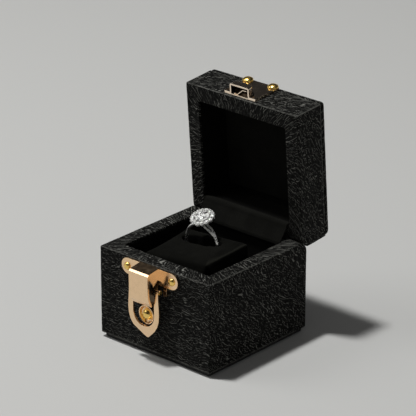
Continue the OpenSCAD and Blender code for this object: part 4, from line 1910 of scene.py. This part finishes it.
    def bail(self) -> None:
        """The swinging arrow-shaped plate with its window and its two eyes."""
        shape = bmesh.new()
        verts = [shape.verts.new((x, 0, z)) for x, z in self.bail_ring()]
        edges = [shape.edges.new(pair) for pair in zip(verts, verts[1:] + verts[:1])]
        bmesh.ops.triangle_fill(shape, use_beauty=True, edges=edges)
        for k in range(-4, 5):
            slice_faces(shape, (0, 0, self.fold + k * 0.34), (0, 0, 1))
        top = bmesh.ops.extrude_face_region(shape, geom=list(shape.faces))["geom"]
        behind = {v for v in top if isinstance(v, bmesh.types.BMVert)}
        for vert in shape.verts:
            vert.co = self.bent(vert.co.x, vert.co.z, 0.9 if vert in behind else 0.0) * MM
        for side in (-1, 1):
            ends = [Vector((self.latch_x + side * x, self.bail_y, self.bail_z)) for x in self.eye]
            tube(shape, ends, (1.1, 1.1), 32)
        bmesh.ops.recalc_face_normals(shape, faces=shape.faces)
        join_flats(shape)
        obj = mesh_object("bail_plate", shape, CORNER_LIMIT)
        settle(rounded_off(obj, 0.4 * MM), Body.BAIL, ROSE_GOLD, "latch_bail")

    def nails(self) -> None:
        """Domed brass heads on the base and on the lid."""
        front = Vector((0, -1, 0))
        face = self.wall_y - 0.8
        base = [
            Spot(Vector((self.latch_x + x, self.wall_y - off, z)), front, radius, height)
            for x, z, off, radius, height in self.base_nails
        ]
        facing = self.lid.to_3x3() @ front
        keeper = []
        for x, z in self.keeper_nails:
            place = self.lid @ (Vector((self.latch_x + x, face + 0.1 - HINGE_Y, z)) * MM) / MM
            keeper.append(Spot(place, facing, 2.35, 1.3))
        for name, node, spots, body in (
            ("latch_nail_heads", "latch_nails", base, Body.BASE),
            ("keeper_nail_heads", "keeper_nails", keeper, Body.LID),
        ):
            heads = Repeats.on(name, "domed_heads", spots, YELLOW_BRASS, under=0.1)
            settle(heads, body, YELLOW_BRASS, node)


def dress_node(node: str, finish: Finish) -> None:
    """Gives a CAD node its material.

    Args:
        node: The CAD node's name.
        finish: Its finish.
    """
    obj = bpy.data.objects[node]
    obj.data.materials.clear()
    obj.data.materials.append(finish.material())
    LOG.info("%s: dressed with %s", node, finish.name)


@dataclass
class DiamondRing:
    """The ring in the slot: split shank, open basket, halo and brilliant stone, in millimetres."""

    centre: tuple[float, float, float] = (-1.85, 1.0, 39.8)
    shank_r: float = 8.5
    band_r: float = 0.85
    head_at: tuple[float, float, float] = (-1.7, 1.0, 51.75)
    lean: float = 20.0
    halo_r: float = 4.3
    halo_n: int = 14
    stone_r: float = 3.15
    stone_lift: float = 0.25
    pavilion: float = 0.72
    # Radius and height round the halo's section, and up a claw.
    halo_section: tuple[tuple[float, float], ...] = (
        (3.2, -0.15), (5.0, -0.15), (5.15, -0.4), (4.8, -1.3), (4.3, -1.75), (3.3, -1.6),
    )
    claw_line: tuple[tuple[float, float], ...] = ((1.7, -2.9), (3.1, -0.6), (3.35, 0.8))
    # Facet corners of the cut: how many, turned by a share of a step, and radius and height as shares.
    facet_rows: tuple[tuple[int, float, float, float], ...] = (
        (8, 0.0, 0.54, 0.33), (8, 0.5, 0.78, 0.2), (16, 0.0, 1.0, 0.03), (16, 0.0, 1.0, -0.03),
        (8, 0.5, 0.3, -0.62),
    )

    @property
    def head(self) -> Matrix:
        """Where the halo and its stone stand."""
        return Matrix.Translation(self.head_at) @ Matrix.Rotation(math.radians(self.lean), 4, "X")

    def build(self) -> None:
        """Makes the metal, then the stones."""
        self.shank()
        self.setting()
        self.beads()
        self.stones()

    def on_band(self, angle: float, aside: float, lift: float = 0.0) -> Vector:
        """A point of the band at an angle in degrees, moved aside and outwards."""
        a = math.radians(angle)
        r = self.shank_r + lift
        return Vector(self.centre) + Vector((r * math.cos(a), aside, r * math.sin(a)))

    def spread(self, angle: float) -> float:
        """Half the distance between the two strands at an angle from the horizontal, in degrees."""
        t = share((angle - 18) / 48)
        return t * t * (3 - 2 * t)

    def strand(self, side: int, way: int, angle: float, lift: float = 0.0) -> Vector:
        """A point of a shoulder's strand.

        Args:
            side: 0 for the right shoulder and 1 for the left one.
            way: -1 for the front strand, 1 for the back one, 0 for the middle between them.
            angle: Angle above the horizontal, in degrees.
            lift: How far the point is outside the band's middle line.

        Returns:
            The point, in millimetres.
        """
        return self.on_band(180 - angle if side else angle, way * self.spread(angle), lift)

    def shank(self) -> None:
        """A round band below that splits into two strands on each shoulder."""
        shape = bmesh.new()
        low = [155 + 230 * k / 76 for k in range(77)]
        radii = [self.band_r - 0.25 * min(1, abs(a - 270) / 115) ** 4 for a in low]
        tube(shape, [self.on_band(a, 0) for a in low], radii)
        for side, way in STRANDS:
            line = [self.strand(side, way, 8 + 68 * k / 24) for k in range(25)]
            tube(shape, line, [0.6 - 0.12 * k / 24 for k in range(25)], 14)
        settle(mesh_object("split_shank", shape), Body.BASE, WHITE_GOLD, "ring_shank")

    def setting(self) -> None:
        """Halo plate with scalloped edge, basket rail and four claws."""
        shape = bmesh.new()
        lathe(shape, self.halo_section, self.head, 0.03, self.halo_n)
        rail = [circle(math.radians(6 * k), 2.1, -2.5) for k in range(61)]
        tube(shape, [self.head @ q for q in rail], [0.32] * 61, 10)
        for a in self.claws():
            line = chaikin([self.head @ circle(a, r, z) for r, z in self.claw_line], 2)
            tube(shape, line, [0.34] * len(line), 10)
        settle(mesh_object("halo_setting", shape), Body.BASE, WHITE_GOLD, "ring_setting")

    @staticmethod
    def claws() -> list[float]:
        """The angles of the four claws, in radians."""
        return [math.radians(45 + 90 * k) for k in range(4)]

    def beads(self) -> None:
        """Claw tips on the centre stone and beads between the halo's stones."""
        up = self.head.to_3x3() @ Vector((0, 0, 1))
        spots = [Spot(self.head @ circle(a, 3.1, 0.72), up, 0.46, 0.42) for a in self.claws()]
        for k in range(self.halo_n):
            a = 2 * math.pi * (k + 0.5) / self.halo_n
            spots += [Spot(self.head @ circle(a, r), up, 0.24, 0.3) for r in (3.6, 5.0)]
        beads = Repeats.on("claw_beads", "domed_heads", spots, WHITE_GOLD, under=0.8)
        settle(beads, Body.BASE, WHITE_GOLD, "ring_prongs")

    def stones(self) -> None:
        """Halo stones in two rows, a row down each strand, and the centre stone."""
        turned = self.head.to_3x3()
        spots = []
        for k in range(self.halo_n):
            a = 2 * math.pi * k / self.halo_n
            way = turned @ (circle(a) * 0.22 + Vector((0, 0, 1)))
            spots.append(Spot(self.head @ (circle(a) * self.halo_r), way.normalized(), 0.92, 0.9))
            low = turned @ (circle(a) + Vector((0, 0, -0.35)))
            spots.append(Spot(self.head @ circle(a, 4.95, -0.9), low.normalized(), 0.5, 0.5))
        for side, way in STRANDS:
            for k in range(8):
                a = 24 + 5.6 * k
                out = (self.strand(side, 0, a, 1) - self.strand(side, 0, a)).normalized()
                spots.append(Spot(self.strand(side, way, a, 0.42), out, 0.36, 0.36))
        settle(Repeats.on("small_stones", "cut_stones", spots, PAVE), Body.BASE, PAVE, "halo_stones")
        settle(self.brilliant(), Body.BASE, STONE, "centre_stone")

    def brilliant(self) -> bpy.types.Object:
        """A round brilliant: table, star, main and girdle facets over a pointed pavilion.

        Returns:
            The new object.
        """
        shape = bmesh.new()
        raise_by = Vector((0, 0, self.stone_lift))
        for count, shift, r, z in self.facet_rows:
            for k in range(count):
                q = circle(2 * math.pi * (k + shift) / count, r, z) * self.stone_r
                shape.verts.new((self.head @ (q + raise_by)) * MM)
        point = Vector((0, 0, self.stone_lift - self.pavilion * self.stone_r))
        shape.verts.new((self.head @ point) * MM)
        bmesh.ops.convex_hull(shape, input=shape.verts)
        bmesh.ops.recalc_face_normals(shape, faces=shape.faces)
        obj = mesh_object("brilliant_stone", shape, 1)
        for face in obj.data.polygons:
            face.use_smooth = False
        return obj


@dataclass
class HiddenBoards:
    """The boards, foam and felt that carry the coverings."""

    parts: tuple[tuple[str, Finish], ...] = (
        ("base_core", BOARD),
        ("lid_core", BOARD),
        ("foam_bed", FOAM),
        ("bottom_board", EDGE_PAPER),
    )

    def build(self) -> None:
        """Dresses each of them and lays the felt under the base."""
        for node, finish in self.parts:
            dress_node(node, finish)
        self.felt()

    def felt(self) -> None:
        """The thin felt sheet under the base, with soft edges."""
        lo, hi = (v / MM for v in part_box("bottom_felt"))
        edge = (lo.x, hi.x, lo.y, hi.y, 1.2)
        points = [
            (Loop(*MIDDLE, MIDDLE_R, lo.z), 0.0),
            (Loop(*edge, lo.z), 0.2),
            (Loop(*edge, hi.z), 0.2),
            (Loop(*MIDDLE, MIDDLE_R, hi.z), 0.0),
        ]

        def fuzz(p: Vector) -> Vector:
            """Draws the edge in and out a little."""
            return p + Vector((-p.x, -p.y, 0.0)).normalized() * 0.12 * (1 + swell(p, 3.0, 6.0))

        skin = Skin(profile(points, False), 1.0, False, fuzz)
        obj = skin.piece("foot_felt", FELT, "bottom_felt")


# ---- studio ----


@dataclass
class Studio:
    """Floor, lamps, world and camera, in metres."""

    floor_grey: float = 0.57
    camera_at: Point = (0.66692, -0.74327, 0.47892)
    azimuth: float = 41.8
    elevation: float = 22.94
    lens: float = 231.4
    key_way: Point = (-0.19, -0.14, 1.0)
    key_distance: float = 1.6
    fills: tuple[tuple[str, Point, float, float], ...] = (
        ("front_fill", (-1.05, -0.71, 1.12), 0.8, 4.6),
        ("right_fill", (1.3, -0.3, 1.2), 0.9, 0.5),
    )
    floor_half: float = 6.0

    def build(self) -> None:
        """Makes the whole studio."""
        self.floor()
        self.world()
        self.lamp("key", Vector(self.key_way).normalized() * self.key_distance, 0.12, 19.0)
        for name, place, size, power in self.fills:
            self.lamp(name, Vector(place), size, power)
        self.camera()

    def floor(self) -> None:
        """A plain pale floor."""
        mesh = bpy.data.meshes.new("studio_floor")
        signs = ((-1, -1), (1, -1), (1, 1), (-1, 1))
        corners = [(x * self.floor_half, y * self.floor_half, 0) for x, y in signs]
        mesh.from_pydata(corners, [], [(0, 1, 2, 3)])
        obj = new_object("studio_floor", mesh)
        material = bpy.data.materials.new("studio_floor")
        material.use_nodes = True
        grey = self.floor_grey
        values = {"Base Color": (grey, grey, grey * 0.97, 1), "Roughness": 0.8}
        Graph(material.node_tree).feed(material.node_tree.nodes["Principled BSDF"], values)
        mesh.materials.append(material)

    def world(self) -> None:
        """A pale horizon under a dark ceiling for what is seen, and an even fill for what is lit."""
        world = bpy.data.worlds.new("studio")
        bpy.context.scene.world = world
        world.use_nodes = True
        graph = Graph(world.node_tree)
        way = graph.add("ShaderNodeTexCoord").outputs["Generated"]
        height = graph.add("ShaderNodeSeparateXYZ", {0: way}).outputs["Z"]
        pale = graph.mixed(graph.ramped(height, 0.06, 0.2), (0.75, 0.75, 0.73), (0.02, 0.02, 0.02))
        path = graph.add("ShaderNodeLightPath").outputs
        seen = graph.math("MAXIMUM", path["Is Camera Ray"], path["Is Glossy Ray"])
        seen = graph.math("MAXIMUM", seen, path["Is Transmission Ray"])
        lit = graph.mixed(seen, (0.09, 0.09, 0.09), pale)
        shader = graph.add("ShaderNodeBackground", {"Color": lit, "Strength": 1.0})
        graph.feed(world.node_tree.nodes["World Output"], {"Surface": shader.outputs[0]})

    @staticmethod
    def stand(obj: bpy.types.Object, place: Vector, way: Vector) -> None:
        """Puts a lamp or the camera at a place, facing a way."""
        obj.location = place
        obj.rotation_mode = "QUATERNION"
        obj.rotation_quaternion = way.to_track_quat("-Z", "Y")

    def lamp(self, name: str, place: Vector, size: float, power: float) -> None:
        """A square soft lamp that faces the box.

        Args:
            name: The lamp's name.
            place: Where it stands, in metres.
            size: Length of its side, in metres.
            power: Its power, in watts.
        """
        data = bpy.data.lights.new(name, "AREA")
        data.shape = "SQUARE"
        data.size = size
        data.energy = power
        self.stand(new_object(name, data), place, Vector((0, 0, 0.04)) - place)

    def camera(self) -> None:
        """The long lens, from the front right and above."""
        data = bpy.data.cameras.new("camera")
        data.sensor_width = 36.0
        data.lens = self.lens
        data.clip_start, data.clip_end = 0.05, 20.0
        a, e = math.radians(self.azimuth), math.radians(self.elevation)
        back = Vector((math.sin(a) * math.cos(e), -math.cos(a) * math.cos(e), math.sin(e)))
        obj = new_object("camera", data)
        self.stand(obj, Vector(self.camera_at), -back)
        bpy.context.scene.camera = obj


def main() -> None:
    """Builds the studio, then each sub-assembly in order."""
    logging.basicConfig(level=logging.INFO, format="%(message)s")
    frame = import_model()
    lid = lid_matrix(frame["joints"])
    bpy.context.scene.view_settings.view_transform = "Standard"
    parts = (Studio(), HiddenBoards(), LeatherCase(lid), VelvetInside(lid), MetalWork(lid), DiamondRing())
    for part in parts:
        LOG.info("building %s", type(part).__name__)
        part.build()


if __name__ == "__main__":
    main()
